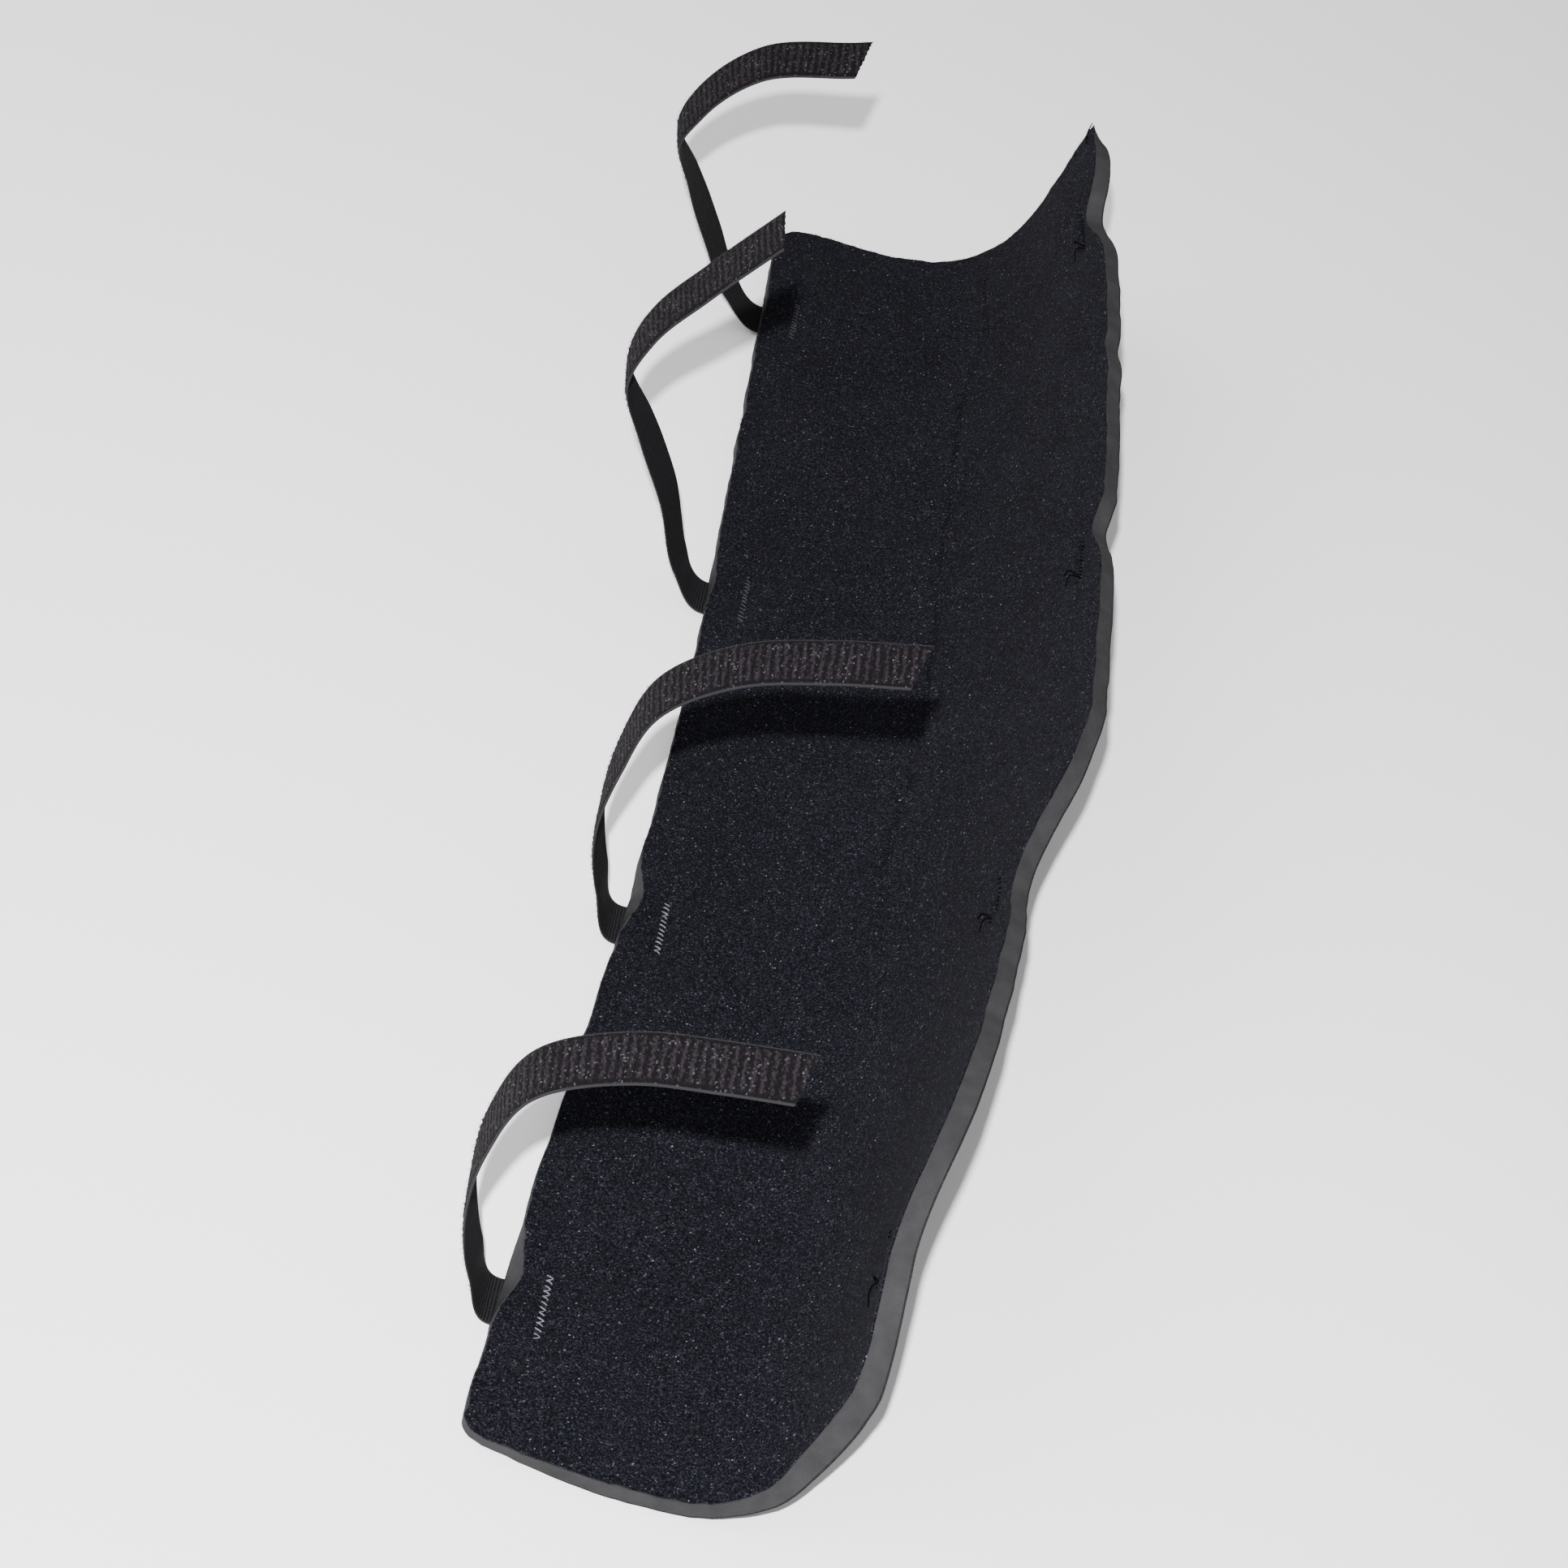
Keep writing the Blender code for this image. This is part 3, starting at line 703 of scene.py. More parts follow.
# %% Fibres from lines
def stubs_piece(name, lines, wide):
    """A tapering square stub round each short line of points (stubs, steps, 3), all in one mesh."""
    count, steps = lines.shape[:2]
    corners = np.array([(1, 0), (0, 1), (-1, 0), (0, -1)]) * wide / 2 * MM
    widths = np.linspace(1.0, 0.35, steps)[None, :, None, None]
    run = np.gradient(lines, axis=1)
    run /= np.linalg.norm(run, axis=2)[:, :, None]
    one = np.cross(run, np.broadcast_to([0.31, 0.2, 0.93], run.shape))
    one /= np.linalg.norm(one, axis=2)[:, :, None]
    two = np.cross(run, one)
    ring = one[:, :, None] * corners[:, :1] + two[:, :, None] * corners[:, 1:]
    points = (lines[:, :, None] + widths * ring).reshape(-1, 3)
    sides = [(4 * k + c, 4 * k + (c + 1) % 4, 4 * k + 4 + (c + 1) % 4, 4 * k + 4 + c)
             for k in range(steps - 1) for c in range(4)]
    ends = [(3, 2, 1, 0), tuple(4 * (steps - 1) + c for c in range(4))]
    mesh = bpy.data.meshes.new(name)
    faces = np.array(sides + ends)[None] + 4 * steps * np.arange(count)[:, None, None]
    mesh.from_pydata(points.tolist(), [], faces.reshape(-1, 4).tolist())
    mesh.update()
    made = bpy.data.objects.new(name, mesh)
    bpy.context.scene.collection.objects.link(made)
    return made


print("faces in a stub of three rings:", 2 * 4 + 2)

# %% Fuzz on the straps
FUZZ_COUNT, FUZZ_TALL, FUZZ_WIDE, FUZZ_ROOT = 2600, (0.35, 0.95), 0.09, 0.1
EDGE_FUZZ, EDGE_BAND = 2.5, 1.9  # how much thicker it grows in a band of this width along each edge
BARE_BELOW = 0.012  # metres: the pile near the wing is covered, and keeps no fuzz


def strap_fuzz(number, strap):
    """Short fibres rooted in the pile, thicker towards the tape's two edges."""
    chance = np.random.default_rng(130 + int(number))
    spots = read_points(strap)
    normals = read(strap.data.vertex_normals, "vector", 3)
    level, crest = (read(strap.data.attributes[name].data, "value") for name in ("level", "crest"))
    inside = TAPE_WIDTH / 2 - np.abs(spots[:, 1] / MM - HINGES[number][1])
    weight = 0.15 + crest + EDGE_FUZZ * (inside < EDGE_BAND)
    weight = weight * (level > PILE_LEVEL) * (inside > 0.3) * (spots[:, 2] > BARE_BELOW)
    root = chance.choice(len(spots), FUZZ_COUNT, p=weight / weight.sum())
    out = normals[root] + chance.normal(0, 0.55, (FUZZ_COUNT, 3))
    out /= np.linalg.norm(out, axis=1)[:, None]
    lean = chance.normal(0, 0.35, (FUZZ_COUNT, 3))
    tall = chance.uniform(*FUZZ_TALL, (FUZZ_COUNT, 1)) * MM
    lines = [spots[root] - normals[root] * FUZZ_ROOT * MM]
    lines += [spots[root] + tall * share * (out + lean * share) for share in (0.5, 1.0)]
    return stubs_piece(f"tape_fuzz_{number}", np.stack(lines, 1), FUZZ_WIDE)


fuzz = {number: strap_fuzz(number, strap) for number, strap in straps.items()}
print("fuzz on one strap:", FUZZ_COUNT, "fibres,", len(fuzz["1"].data.polygons), "faces")

# %% [markdown]
# ## Bar tacks
# A bar tack is one thread sewn in a tight zigzag. A curve with a round bevel follows it, rising a
# little over each stitch and diving into the cloth where the needle went. The straps' tacks are pale
# and stand proud; the landing tabs' are black and sunk, with loose ends that were never trimmed.

# %% Thread
STITCHES, ZIGZAG_WIDTH, THREAD_THICK = 25, 2.2, 0.48
STITCH_POINTS, STITCH_SINK, STITCH_RISE = 6, 0.22, 0.55


def thread_piece(name, paths, thick):
    """Tubes of thread through lists of points in metres, as one mesh."""
    curve = bpy.data.curves.new(name, "CURVE")
    curve.dimensions = "3D"
    curve.bevel_depth = thick / 2 * MM
    curve.bevel_resolution = 1
    curve.use_fill_caps = True
    for path in paths:
        spline = curve.splines.new("POLY")
        spline.points.add(len(path) - 1)
        spline.points.foreach_set("co", np.c_[path, np.ones(len(path))].astype(np.float32).ravel())
    made = bpy.data.objects.new(name, curve)
    bpy.context.scene.collection.objects.link(made)
    pick(made)
    bpy.ops.object.convert(target="MESH")
    bpy.ops.object.shade_smooth()
    return made


def zigzag(place, line, surface, seed):
    """A tack's thread on one face: `surface` turns (along, across, height) into points in metres."""
    chance = np.random.default_rng(seed)
    along, across, height = [], [], []
    for k in range(STITCHES):
        start = place - TACK_LENGTH / 2 + TACK_LENGTH * k / STITCHES
        side = 1 if k % 2 else -1
        reach = ZIGZAG_WIDTH / 2 * chance.uniform(0.8, 1.1)
        slack = chance.uniform(0.5, 1.2) if k % 2 else chance.uniform(-0.9, 0.3)
        for t in np.linspace(0, 1, STITCH_POINTS):
            along.append(start + t * TACK_LENGTH / STITCHES * chance.uniform(0.97, 1.03))
            across.append(line + side * reach * (1 - 2 * t))
            height.append(-STITCH_SINK + STITCH_RISE * slack * math.sin(math.pi * t) ** 0.7)
    return surface(np.array(along), np.array(across), np.array(height))


def on_lining(along, across, height):
    """Places at a height over the lining, in metres."""
    return bend(along, across, squeeze(along, across, 0 * along) - height)


print("a tack has", STITCHES, "stitches,", round(TACK_LENGTH / STITCHES, 2), "mm apart")


# %% The straps' stitches
def strap_tack(number):
    """Thread on the lining, and on the tape's sewn end underneath."""
    place = STRAP_PLACES[number]
    line = float(left_edge(np.float64(place))) + TACK_INSET

    def under_root(along, across, height):
        low = HINGES[number][2] - TAPE_THICK / 2 - 0.5 * height
        return np.stack([X_ORIGIN + across, along + Y_ORIGIN, low], 1) * MM

    faces = ((on_lining, 80), (under_root, 90))
    paths = [zigzag(place, line, surface, seed + int(number)) for surface, seed in faces]
    return thread_piece(f"strap_stitches_{number}", paths, THREAD_THICK)


strap_stitches = {number: strap_tack(number) for number in STRAP_PLACES}
print("strap stitches:", sum(len(o.data.polygons) for o in strap_stitches.values()), "faces")

# %% [markdown]
# ## Landing tabs
# The straps go round the limb and close on short tabs of hook tape, sewn to the outside of the
# turned-up wing. A tab follows the cover's curve, so its blank is bent by the same mapping, just
# outside the cover. That turns the blank inside out, so its faces are made to point outwards again.
# The hooks are small bent stubs in rows, with a few faces each, because there are hundreds.

# %% Landing tabs and their hooks
TAB_LENGTH, TAB_REACH, TAB_TOP, TAB_THICK = 40.0, 4.0, 0.45, 1.0
TAB_ROWS, TAB_COLUMNS, TAB_SMOOTH_BELOW = 24, 60, 45
FIELD_END, FIELD_START, FIELD_SIDE = 2.0, 9.0, 1.6  # how far the hooks stay from the tab's ends and sides
TAB_SELVAGE, SELVAGE_BLEND = 0.8, 0.6
RIB_STEP, RIB_RISE, STITCH_PULL = 1.4, 0.05, 0.3
HOOK_PITCH, HOOK_TALL, HOOK_WIDE, HOOK_SCATTER = 1.45, 1.0, 0.16, 0.12
# A hook's four rings, from root to tip: how high each is and how far it has bent over.
HOOK_SHAPE = ((-0.1, 0.0), (0.6, 0.05), (0.95, 0.3), (0.8, 0.65))


def on_cover(along, across, height):
    """Places at a height over the cover, in metres."""
    return bend(along, across, squeeze(along, across, THICK + 0 * along) + height)


def hook_points(place, start):
    """The middles of four rings for each hook in the tab's field, as an array (hooks, 4, 3)."""
    chance = np.random.default_rng(7)
    across, along = np.meshgrid(
        np.arange(start - TAB_LENGTH + FIELD_END, start - FIELD_START, HOOK_PITCH),
        np.arange(place - TAPE_WIDTH / 2 + FIELD_SIDE, place + TAPE_WIDTH / 2 - FIELD_SIDE + 0.2, HOOK_PITCH),
    )
    across = across.ravel() + chance.normal(0, HOOK_SCATTER, across.size)
    along = along.ravel() + chance.normal(0, HOOK_SCATTER, along.size)
    bent = chance.choice([-1.0, 1.0], across.size)
    rings = []
    for rise, over in HOOK_SHAPE:
        rings.append(on_cover(along + bent * over, across, TAB_TOP + TAB_THICK + rise * HOOK_TALL))
    return np.stack(rings, 1)


def make_tab(number):
    """A tab of hook tape and its hooks."""
    place, line = RIGHT_TACKS[number]
    start = line + TAB_REACH
    tab = add_blank(f"tab_tape_{number}", TAB_ROWS, TAB_COLUMNS, 1)
    unit = read_points(tab)
    along = place + (unit[:, 1] - 0.5) * TAPE_WIDTH
    across = start - TAB_LENGTH + unit[:, 0] * TAB_LENGTH
    inside = smooth_step((TAPE_WIDTH / 2 - TAB_SELVAGE - np.abs(along - place)) / SELVAGE_BLEND)
    ribs = RIB_RISE * np.sin(across * 2 * math.pi / RIB_STEP) * inside
    pulled = STITCH_PULL * bump_at(across, line, 2.0)
    height = TAB_TOP - pulled - unit[:, 2] * TAB_THICK + ribs * (unit[:, 2] < -0.5)
    write_pattern_uv(tab, across, along)
    write_points(tab, on_cover(along, across, height))
    pick(tab)
    bpy.ops.object.mode_set(mode="EDIT")
    bpy.ops.mesh.select_all(action="SELECT")
    bpy.ops.mesh.normals_make_consistent(inside=False)
    bpy.ops.object.mode_set(mode="OBJECT")
    shade(tab, TAB_SMOOTH_BELOW)
    hooks = stubs_piece(f"tab_hooks_{number}", hook_points(place, start), HOOK_WIDE)
    return tab, hooks


tabs = {number: make_tab(number) for number in RIGHT_TACKS}
print("hooks on one tab:", len(tabs["1"][1].data.polygons) // (4 * (len(HOOK_SHAPE) - 1) + 2))


# %% The tabs' stitches
LOOSE_END_POINTS = 12


def tab_tack(number):
    """Black thread on both faces of the turned-up wing, with two loose ends on the lining."""
    place, line = RIGHT_TACKS[number]

    def on_tab(along, across, height):
        return on_cover(along, across, TAB_TOP + TAB_THICK - 0.25 + 0.6 * height)

    def sunk_lining(along, across, height):
        return on_lining(along, across, height - 0.05)

    chance = np.random.default_rng(100 + int(number))
    faces = ((sunk_lining, 110), (on_tab, 120))
    paths = [zigzag(place, line, surface, seed + int(number)) for surface, seed in faces]
    t = np.linspace(0, 1, LOOSE_END_POINTS)
    for end in (-1, 1):
        swing = chance.uniform(2.5, 5.0) * end
        along = place - 8.0 + swing * t + 1.5 * np.sin(3 * t)
        across = line - chance.uniform(3.0, 7.0) * t + chance.uniform(-1, 1) * t**2
        paths.append(on_lining(along, across, -0.2 + 1.4 * np.sin(math.pi * t) + 0.3 * t))
    return thread_piece(f"tab_stitches_{number}", paths, THREAD_THICK)


tab_stitches = {number: tab_tack(number) for number in RIGHT_TACKS}
print("tab stitches:", sum(len(o.data.polygons) for o in tab_stitches.values()), "faces")

# %% [markdown]
# ## The loose tip thread
# At the knee end's pointed corner the cutter left a pair of threads hanging over the foam. Two short
# curves of the same thread are enough.

# %% Tip thread
TIP_POINTS = 10
t = np.linspace(0, 1, TIP_POINTS)
tip_across = float(right_edge(np.float64(LENGTH))) - 1.0
tip_thread = thread_piece("tip_thread", [
    bend(LENGTH - 3.0 + 3.2 * t, tip_across + 1.5 * t + 3.2 * t**2, -0.1 - 0.5 * np.sin(3 * t)),
    bend(LENGTH - 5.0 + 4.6 * t, tip_across - 1.0 + 3.4 * t, -0.1 - 0.6 * np.sin(3 * t)),
], THREAD_THICK)
print("tip thread:", len(tip_thread.data.polygons), "faces")

# %% [markdown]
# ## Nap
# Brushed cloth is covered in fibres. The material can paint them on the flat, but not where the cloth
# ends: there the fibres stand over the foam's edge. A few thousand tiny spikes are set along the
# lining's rim, leaning outwards, and a thin scatter lies over the face to catch the light.

# %% Nap fibres
RIM_FIBRES, FACE_FIBRES = 5200, 9000
RIM_FIBRE_WIDE, FACE_FIBRE_WIDE = 0.1, 0.11
FIBRE_ROOT, RIM_INSET = 0.25, 0.15
RIM_REACH, RIM_SCATTER, RIM_RISE = (0.3, 0.95), 0.25, (-0.25, 0.35)
FACE_LEAN, FACE_RISE, FACE_MARGIN = 0.35, (0.08, 0.3), 0.01
SIDE_SHARES = [0.38, 0.38, 0.12, 0.12]  # of the rim fibres: straps' edge, wing's edge, ankle end, knee end


def fibres(name, along, across, lean_along, lean_across, rise, wide):
    """Short tapering fibres rooted in the lining; leans and rises are in millimetres at the tip."""
    base = bend(along, across, squeeze(along, across, FIBRE_ROOT + 0 * along))
    mid = bend(along + 0.55 * lean_along, across + 0.55 * lean_across,
               squeeze(along, across, 0 * along) - 0.75 * rise)
    end = bend(along + lean_along, across + lean_across, squeeze(along, across, 0 * along) - rise)
    return stubs_piece(name, np.stack([base, mid, end], 1), wide)


def rim_places(count, chance):
    """Places just inside the lining's cut edge, and the direction out over it."""
    t = chance.uniform(0, 1, count)
    side = chance.choice(4, count, p=SIDE_SHARES)
    unit = np.zeros((count, 3))
    unit[:, 0] = np.where(side == 0, 0.0, np.where(side == 1, 1.0, t))
    unit[:, 1] = np.where(side == 2, 0.0, np.where(side == 3, 1.0, t))
    along, across, _ = lay_out(unit, 0.0, LINING_BACK, frayed_trim)
    out_across = np.where(side == 0, -1.0, np.where(side == 1, 1.0, 0.0))
    out_along = np.where(side == 2, -1.0, np.where(side == 3, 1.0, 0.0))
    return along - RIM_INSET * out_along, across - RIM_INSET * out_across, out_along, out_across


chance = np.random.default_rng(11)
along, across, out_along, out_across = rim_places(RIM_FIBRES, chance)
reach = chance.uniform(*RIM_REACH, RIM_FIBRES)
rim_nap = fibres(
    "rim_nap", along, across,
    out_along * reach + chance.normal(0, RIM_SCATTER, RIM_FIBRES),
    out_across * reach + chance.normal(0, RIM_SCATTER, RIM_FIBRES),
    chance.uniform(*RIM_RISE, RIM_FIBRES), RIM_FIBRE_WIDE,
)
unit = np.c_[chance.uniform(FACE_MARGIN, 1 - FACE_MARGIN, (FACE_FIBRES, 2)), np.zeros(FACE_FIBRES)]
along, across, _ = lay_out(unit, 0.0, LINING_BACK, frayed_trim)
face_nap = fibres(
    "face_nap", along, across,
    chance.normal(0, FACE_LEAN, FACE_FIBRES), chance.normal(0, FACE_LEAN, FACE_FIBRES),
    chance.uniform(*FACE_RISE, FACE_FIBRES), FACE_FIBRE_WIDE,
)
print("fibres:", RIM_FIBRES + FACE_FIBRES)

# %% [markdown]
# ## Materials
# Every cloth here is nearly black, so it is told apart by its grain. A few helpers add the nodes:
# noise and cells read the pattern or the object's own coordinates, a ramp turns them into colour, and
# a bump node gives the finest grain, which is too small for the mesh. Sizes are in millimetres.

# %% Material helpers
class Finish:
    """A principled material and short ways to add nodes to it."""

    def __init__(self, name, roughness, sheen=0.0, specular=0.5):
        self.material = bpy.data.materials.new(name)
        self.material.use_nodes = True
        self.nodes, self.links = self.material.node_tree.nodes, self.material.node_tree.links
        self.shader = self.nodes["Principled BSDF"]
        self.shader.inputs["Roughness"].default_value = roughness
        self.shader.inputs["Sheen Weight"].default_value = sheen
        self.shader.inputs["Sheen Roughness"].default_value = 0.45
        self.shader.inputs["Specular IOR Level"].default_value = specular

    def add(self, kind, inputs=None, **settings):
        node = self.nodes.new(kind)
        for key, value in settings.items():
            setattr(node, key, value)
        for key, value in (inputs or {}).items():
            if isinstance(value, bpy.types.NodeSocket):
                self.links.new(value, node.inputs[key])
            else:
                node.inputs[key].default_value = value
        return node

    def coordinates(self):
        return self.add("ShaderNodeTexCoord").outputs["Object"]

    def pattern(self):
        """Coordinates on the flat pattern: across, then along, in metres."""
        return self.add("ShaderNodeUVMap", uv_map="pattern").outputs["UV"]

    def stored(self, name):
        return self.add("ShaderNodeAttribute", attribute_name=name).outputs["Fac"]

    def noise(self, where, size, detail=2.0):
        """Noise with grains of this size in millimetres."""
        return self.add(
            "ShaderNodeTexNoise", {"Vector": where, "Scale": 1 / (size * MM), "Detail": detail}
        ).outputs["Fac"]

    def cells(self, where, size):
        """Cells about this wide in millimetres: each one's chance colour, and distance from its middle."""
        made = self.add("ShaderNodeTexVoronoi", {"Vector": where, "Scale": 1 / (size * MM)})
        return made.outputs["Color"], made.outputs["Distance"]

    def ramp(self, factor, *stops):
        node = self.add("ShaderNodeValToRGB", {"Fac": factor})
        while len(node.color_ramp.elements) < len(stops):
            node.color_ramp.elements.new(0.5)
        for element, (place, colour) in zip(node.color_ramp.elements, stops):
            element.position = place
            element.color = (*colour, 1)
        return node.outputs["Color"]

    def mix(self, factor, one, two, how="MIX"):
        node = self.add("ShaderNodeMix", data_type="RGBA", blend_type=how)
        for socket, value in ((0, factor), (6, one), (7, two)):
            if isinstance(value, bpy.types.NodeSocket):
                self.links.new(value, node.inputs[socket])
            elif isinstance(value, tuple):
                node.inputs[socket].default_value = (*value, 1)
            else:
                node.inputs[socket].default_value = value
        return node.outputs[2]

    def sum(self, one, two, how="ADD"):
        node = self.add("ShaderNodeMath", operation=how)
        for socket, value in zip(node.inputs, (one, two)):
            if isinstance(value, bpy.types.NodeSocket):
                self.links.new(value, socket)
            else:
                socket.default_value = value
        return node.outputs[0]

    def stripes(self, where, axis, pitch):
        """A sine from -1 to 1 along one axis of the coordinates, with this pitch in millimetres."""
        parts = self.add("ShaderNodeSeparateXYZ", {"Vector": where})
        turned = self.sum(parts.outputs[axis], 2 * math.pi / (pitch * MM), "MULTIPLY")
        return self.sum(turned, 0.0, "SINE")

    def finish(self, colour, height, distance, strength=1.0):
        self.links.new(colour, self.shader.inputs["Base Color"])
        bump = self.add("ShaderNodeBump", {"Height": height, "Distance": distance * MM, "Strength": strength})
        self.links.new(bump.outputs["Normal"], self.shader.inputs["Normal"])
        return self.material


print("a finish can use:", ", ".join(name for name in vars(Finish) if not name.startswith("_")))


# %% Painting a piece
def paint(piece, *materials):
    """Gives a piece these materials and no others."""
    piece.data.materials.clear()
    for material in materials:
        piece.data.materials.append(material)


print("painted so far:", floor.data.materials[0].name)

# %% [markdown]
# ## Brushed lining
# Nap is a mass of fibre ends at all angles. Seen from a metre it is a dark ground with a fine grain,
# and here and there a fibre end faces the light and flashes, grey or a little blue. Those flashes are
# painted into the colour as glints: cells about as wide as a tuft give each its own brightness, and only
# the brightest few are let through as painted glints. Along the fold's creases the colour is darkened as
# painted shade.

# %% Lining material
def lining_material():
    m = Finish("brushed_nap", 1.0, sheen=0.006, specular=0.06)
    where = m.coordinates()
    grain = m.noise(where, 0.6, 3.0)
    ground = m.ramp(grain, (0.32, (0.0009, 0.0009, 0.0017)), (0.5, (0.0033, 0.0032, 0.0051)),
                    (0.68, (0.0120, 0.0116, 0.0166)))
    patches = m.ramp(m.noise(where, 24.0, 3.0), (0.3, (0.80, 0.80, 0.82)), (0.7, (1.12, 1.12, 1.10)))
    ground = m.mix(1.0, ground, patches, "MULTIPLY")
    # Painted shade: the colour is darkened along the creases, to 0.45 of itself at the deepest.
    crease = m.stored("crease")
    crease_shade = m.ramp(crease, (0.1, (1, 1, 1)), (0.8, (0.45, 0.45, 0.45)))
    ground = m.mix(1.0, ground, crease_shade, "MULTIPLY")
    # Painted glints: a few bright flecks in the colour stand for fibre ends that catch the light.
    tufts, _ = m.cells(where, 0.42)
    tone = m.add("ShaderNodeSeparateColor", {"Color": tufts})
    glint_mask = m.ramp(tone.outputs[0], (0.72, (0, 0, 0)), (0.93, (0.4, 0.4, 0.4)), (1.0, (1, 1, 1)))
    glint_colour = m.ramp(tone.outputs[1], (0.0, (0.016, 0.015, 0.019)), (0.6, (0.020, 0.026, 0.042)),
                   (0.9, (0.036, 0.036, 0.043)), (1.0, (0.13, 0.13, 0.145)))
    colour = m.mix(glint_mask, ground, glint_colour)
    fine = m.sum(m.noise(where, 0.35, 2.0), m.sum(grain, 1.6, "MULTIPLY"))
    return m.finish(colour, fine, 0.28, 0.9)


nap = lining_material()
paint(lining, nap)
print("lining material has", len(nap.node_tree.nodes), "nodes")

# %% [markdown]
# ## Nap fibres and fuzz
# A fibre is dark with a paler tip here and there. It is smoother than the nap as a whole, so a few of
# them glint. The tape's fuzz takes the same finish in the purplish grey of its pile.

# %% Fibre material
def fibre_material(name, dark, light):
    m = Finish(name, 0.7, specular=0.25)
    where = m.coordinates()
    tone = m.ramp(m.noise(where, 0.9, 1.0), (0.35, dark), (0.8, light))
    return m.finish(tone, m.noise(where, 0.2, 1.0), 0.01)


nap_fibre = fibre_material("nap_fibre", (0.003, 0.003, 0.0045), (0.030, 0.031, 0.040))
tape_fibre = fibre_material("tape_fibre", (0.003, 0.0021, 0.003), (0.034, 0.028, 0.036))
for piece in (rim_nap, face_nap):
    paint(piece, nap_fibre)
for piece in fuzz.values():
    paint(piece, tape_fibre)
print("fibre materials:", nap_fibre.name, "and", tape_fibre.name)

# %% [markdown]
# ## Cut foam
# A knife leaves closed-cell foam matt and even, with tiny cells cut open. A cell pattern paints shade
# into the open cells as small dark pits, and a slow noise makes the grey a little lighter here and there.

# %% Foam material
def foam_material():
    m = Finish("cut_foam", 0.95, specular=0.12)
    where = m.coordinates()
    tone = m.ramp(m.noise(where, 7.0, 4.0), (0.3, (0.0215, 0.0210, 0.0228)), (0.7, (0.0305, 0.0298, 0.0322)))
    # Painted shade: the colour is darkened in the middle of each small cell, as in the hollow of a cut pore.
    _, distance = m.cells(where, 0.5)
    pit_shade = m.ramp(distance, (0.0, (0.72, 0.72, 0.72)), (0.35, (1, 1, 1)))
    colour = m.mix(1.0, tone, pit_shade, "MULTIPLY")
    height = m.sum(distance, m.noise(where, 1.1, 3.0))
    return m.finish(colour, height, 0.1, 0.7)


paint(foam, foam_material())
print("foam is", foam.data.materials[0].name)

# %% [markdown]
# ## Cover cloth
# The outside is a close plain cloth on the foam. Two sets of fine stripes at right angles on the flat
# pattern, one over the other, give its warp and weft, and slow patches keep it from looking printed.

# %% Cover material
def cover_material():
    m = Finish("cover_cloth", 0.8, specular=0.15)
    where = m.pattern()
    warp = m.stripes(where, 0, 1.1)
    weft = m.stripes(where, 1, 1.1)
    weave = m.sum(warp, weft, "MULTIPLY")
    lifted = m.sum(m.sum(weave, 0.25, "MULTIPLY"), m.noise(where, 0.6, 2.0))
    colour = m.ramp(lifted, (0.2, (0.004, 0.004, 0.0048)), (0.75, (0.013, 0.013, 0.015)))
    patches = m.ramp(m.noise(where, 30.0, 3.0), (0.3, (0.85, 0.85, 0.85)), (0.7, (1.1, 1.1, 1.1)))
    return m.finish(m.mix(1.0, colour, patches, "MULTIPLY"), lifted, 0.12, 0.8)


paint(cover, cover_material())
print("cover is", cover.data.materials[0].name)

# %% [markdown]
# ## Tape
# The pile is a dark purplish grey. Its rib crests are painted lighter as a highlight and the gaps between
# the ribs are painted black as shade, so colour follows the `crest` value that was stored when the ribs
# were pushed out, and a few painted glints are scattered over it. The ground side has finer woven ribs,
# and the selvage is a pale smooth line along each edge.

# %% Tape materials
def tape_material(name, ground_side):
    m = Finish(name, 0.9, specular=0.15)
    where = m.pattern()
    crest = m.stored("crest")
    grain = m.noise(where, 0.45, 2.0)
    if ground_side:
        ribs = m.stripes(where, 1, 1.05)
        yarns = m.stripes(where, 0, 0.8)
        height = m.sum(m.sum(ribs, 0.5, "MULTIPLY"), m.sum(yarns, 0.25, "MULTIPLY"))
        lifted = m.sum(m.sum(height, 0.3, "MULTIPLY"), grain)
        colour = m.ramp(lifted, (0.35, (0.0008, 0.0007, 0.0009)), (0.72, (0.0170, 0.0158, 0.0190)))
        bump = 0.35
    else:
        height = m.sum(crest, grain)
        # Painted highlight and shade: the colour is lighter on the rib crests and black in the gaps between
        # them.
        lifted = m.sum(m.sum(crest, 0.75, "MULTIPLY"), m.sum(grain, 0.5, "MULTIPLY"))
        colour = m.ramp(lifted, (0.35, (0.0006, 0.0005, 0.0006)), (0.66, (0.0028, 0.0018, 0.0028)),
                        (1.0, (0.0140, 0.0098, 0.0142)))
        # Painted glints: a few bright specks over the pile.
        tufts, _ = m.cells(where, 0.5)
        tone = m.add("ShaderNodeSeparateColor", {"Color": tufts})
        glint_mask = m.ramp(tone.outputs[0], (0.93, (0, 0, 0)), (1.0, (1, 1, 1)))
        colour = m.mix(glint_mask, colour, (0.05, 0.046, 0.055))
        bump = 0.25
    parts = m.add("ShaderNodeSeparateXYZ", {"Vector": where})
    off_middle = m.sum(parts.outputs[0], 0.0, "ABSOLUTE")
    selvage = m.ramp(m.sum(off_middle, 1 / (TAPE_WIDTH / 2 * MM), "MULTIPLY"),
                     (0.925, (0, 0, 0)), (0.955, (1, 1, 1)))
    colour = m.mix(selvage, colour, (0.0165, 0.0150, 0.0185))
    return m.finish(colour, height, bump, 0.8)


pile_side = tape_material("tape_pile", False)
ground_side = tape_material("tape_ground", True)


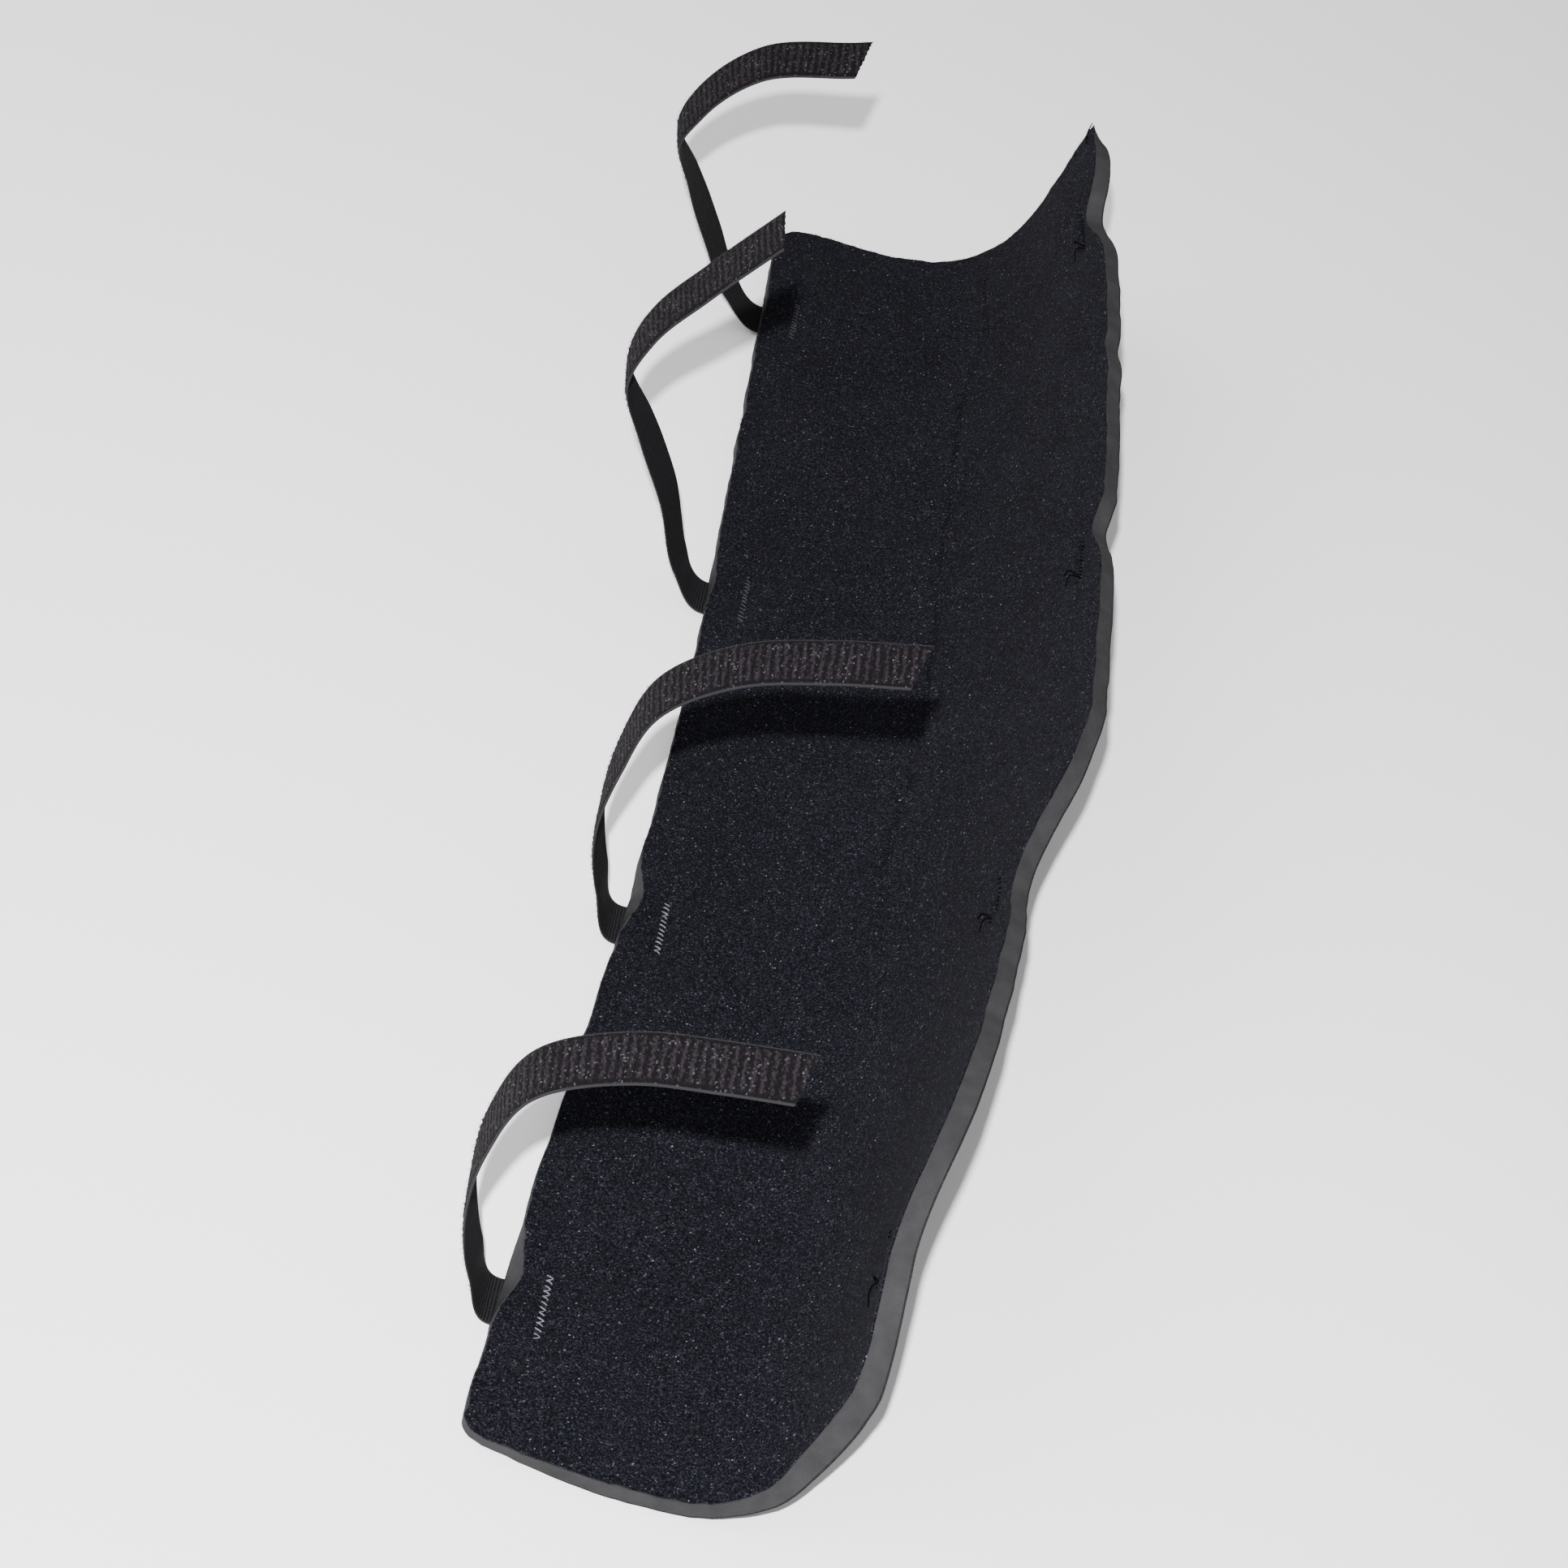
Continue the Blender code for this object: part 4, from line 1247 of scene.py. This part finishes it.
for strap in straps.values():
    paint(strap, pile_side, ground_side)
    level = read(strap.data.attributes["level"].data, "value")
    corners = read(strap.data.loops, "vertex_index", kind=np.int32)
    highest = level[corners].reshape(-1, 4).max(1)
    strap.data.polygons.foreach_set("material_index", (highest < 0.1).astype(np.int32))
    strap.data.update()
ground_faces = read(straps["1"].data.polygons, "material_index", kind=np.int32).sum()
print("faces of strap 1 that show its ground:", int(ground_faces))

# %% [markdown]
# ## Hook tape
# The tabs' ground is the same kind of tape with a slightly harder shine, and the hooks are nylon, the
# glossiest thing on the object, though black.

# %% Hook tape materials
def hook_tape_material():
    m = Finish("hook_tape", 0.55, specular=0.5)
    where = m.pattern()
    weave = m.sum(m.stripes(where, 0, 1.4), m.stripes(where, 1, 0.9), "MULTIPLY")
    lifted = m.sum(m.sum(weave, 0.3, "MULTIPLY"), m.noise(where, 0.5, 2.0))
    colour = m.ramp(lifted, (0.2, (0.0045, 0.0045, 0.0052)), (0.8, (0.0150, 0.0145, 0.0165)))
    return m.finish(colour, lifted, 0.12, 0.8)


def hook_material():
    m = Finish("hook_nylon", 0.35, specular=0.5)
    where = m.coordinates()
    tone = m.ramp(m.noise(where, 1.2, 1.0), (0.3, (0.008, 0.008, 0.009)), (0.7, (0.026, 0.026, 0.029)))
    return m.finish(tone, m.noise(where, 0.3, 1.0), 0.01)


hook_tape, hook_nylon = hook_tape_material(), hook_material()
for tab, hooks in tabs.values():
    paint(tab, hook_tape)
    paint(hooks, hook_nylon)
print("tabs are", hook_tape.name, "and hooks are", hook_nylon.name)

# %% [markdown]
# ## Thread
# The straps are sewn with pale bonded thread and the tabs with black. The thread's twist shows as fine
# light and dark, so each gets a small noise. The stitches of the two straps at the knee end have sunk
# deeper into the nap and lie in more shade, so their pale thread gets a darker copy: painted shade.

# %% Thread materials
SHADED_TACKS = "12"


def thread_material(name, dark, light, specular):
    m = Finish(name, 0.7, specular=specular)
    where = m.coordinates()
    colour = m.ramp(m.noise(where, 0.9, 3.0), (0.3, dark), (0.7, light))
    return m.finish(colour, m.noise(where, 0.25, 1.0), 0.06, 0.8)


pale_thread = thread_material("pale_thread", (0.045, 0.045, 0.055), (0.17, 0.17, 0.20), 0.3)
# Painted shade: a darker copy of the pale thread for the two sunk tacks at the knee end.
shaded_pale_thread = thread_material("shaded_pale_thread", (0.012, 0.012, 0.015), (0.040, 0.040, 0.050), 0.2)
black_thread = thread_material("black_thread", (0.0005, 0.0005, 0.0007), (0.0018, 0.0018, 0.0022), 0.03)
for number, stitches in strap_stitches.items():
    paint(stitches, shaded_pale_thread if number in SHADED_TACKS else pale_thread)
for stitches in (*tab_stitches.values(), tip_thread):
    paint(stitches, black_thread)
print("threads:", pale_thread.name, shaded_pale_thread.name, black_thread.name)

# %% [markdown]
# ## What each piece stands for
# The layers, straps, stitches and tabs each replace a CAD solid, which is hidden. The layers, the nap,
# the threads, the tabs and their hooks ride on the shield's body. A strap is one length across its hinge;
# it and its fuzz keep their place, with their transforms baked in.


def stand_for(piece, slot, *nodes):
    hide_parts(*nodes)
    return piece


LAYERS = ((lining, "lining", "inner_lining"), (foam, "foam", "foam_core"), (cover, "cover", "outer_cover"))
for layer, slot, node in LAYERS:
    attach(stand_for(layer, slot, node), "shield")
for piece, slot in ((rim_nap, "lining"), (face_nap, "lining"), (tip_thread, "thread")):
    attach(piece, "shield")
for number, strap in straps.items():
    stand_for(strap, "tape", f"strap_{number}", f"strap_root_{number}")
    for piece in (strap, fuzz[number]):
        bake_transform(piece)
    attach(stand_for(strap_stitches[number], "thread", f"strap_tack_{number}"), "shield")
    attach(stand_for(tabs[number][0], "tape", f"landing_tab_{number}"), "shield")
    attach(tabs[number][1], "shield")
    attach(stand_for(tab_stitches[number], "thread", f"tab_tack_{number}"), "shield")
print("pieces on the shield or blended from it:", len(LAYERS) + 3 + 6 * len(straps))

# %% [markdown]
# ## The cloths and the foam
# Both cloths were cut to the pattern's outline and stretched over the foam as it was glued. The
# lining's frayed trim takes about a hundredth off its area. The foam is full: it has no slack.


def flat_area():
    """The area of the cut blank, in square metres."""
    row = np.linspace(0, LENGTH, 2000)
    ankle = np.maximum(1 - row / ANKLE_FADE, 0) ** 2
    width = right_edge(row + ANKLE_EDGE[-1][1] * ankle) - left_edge(row)
    return float(width.mean()) * LENGTH * MM**2


print("cloth cut for the cover:", round(flat_area() * 10000), "square centimetres")

# %% [markdown]
# ## Size and finish
# The looks have to stay close to the solids that they stand for, so the CAD box is printed.

# %% Size
print("CAD box", [[round(v, 4) for v in c] for c in cad_box])
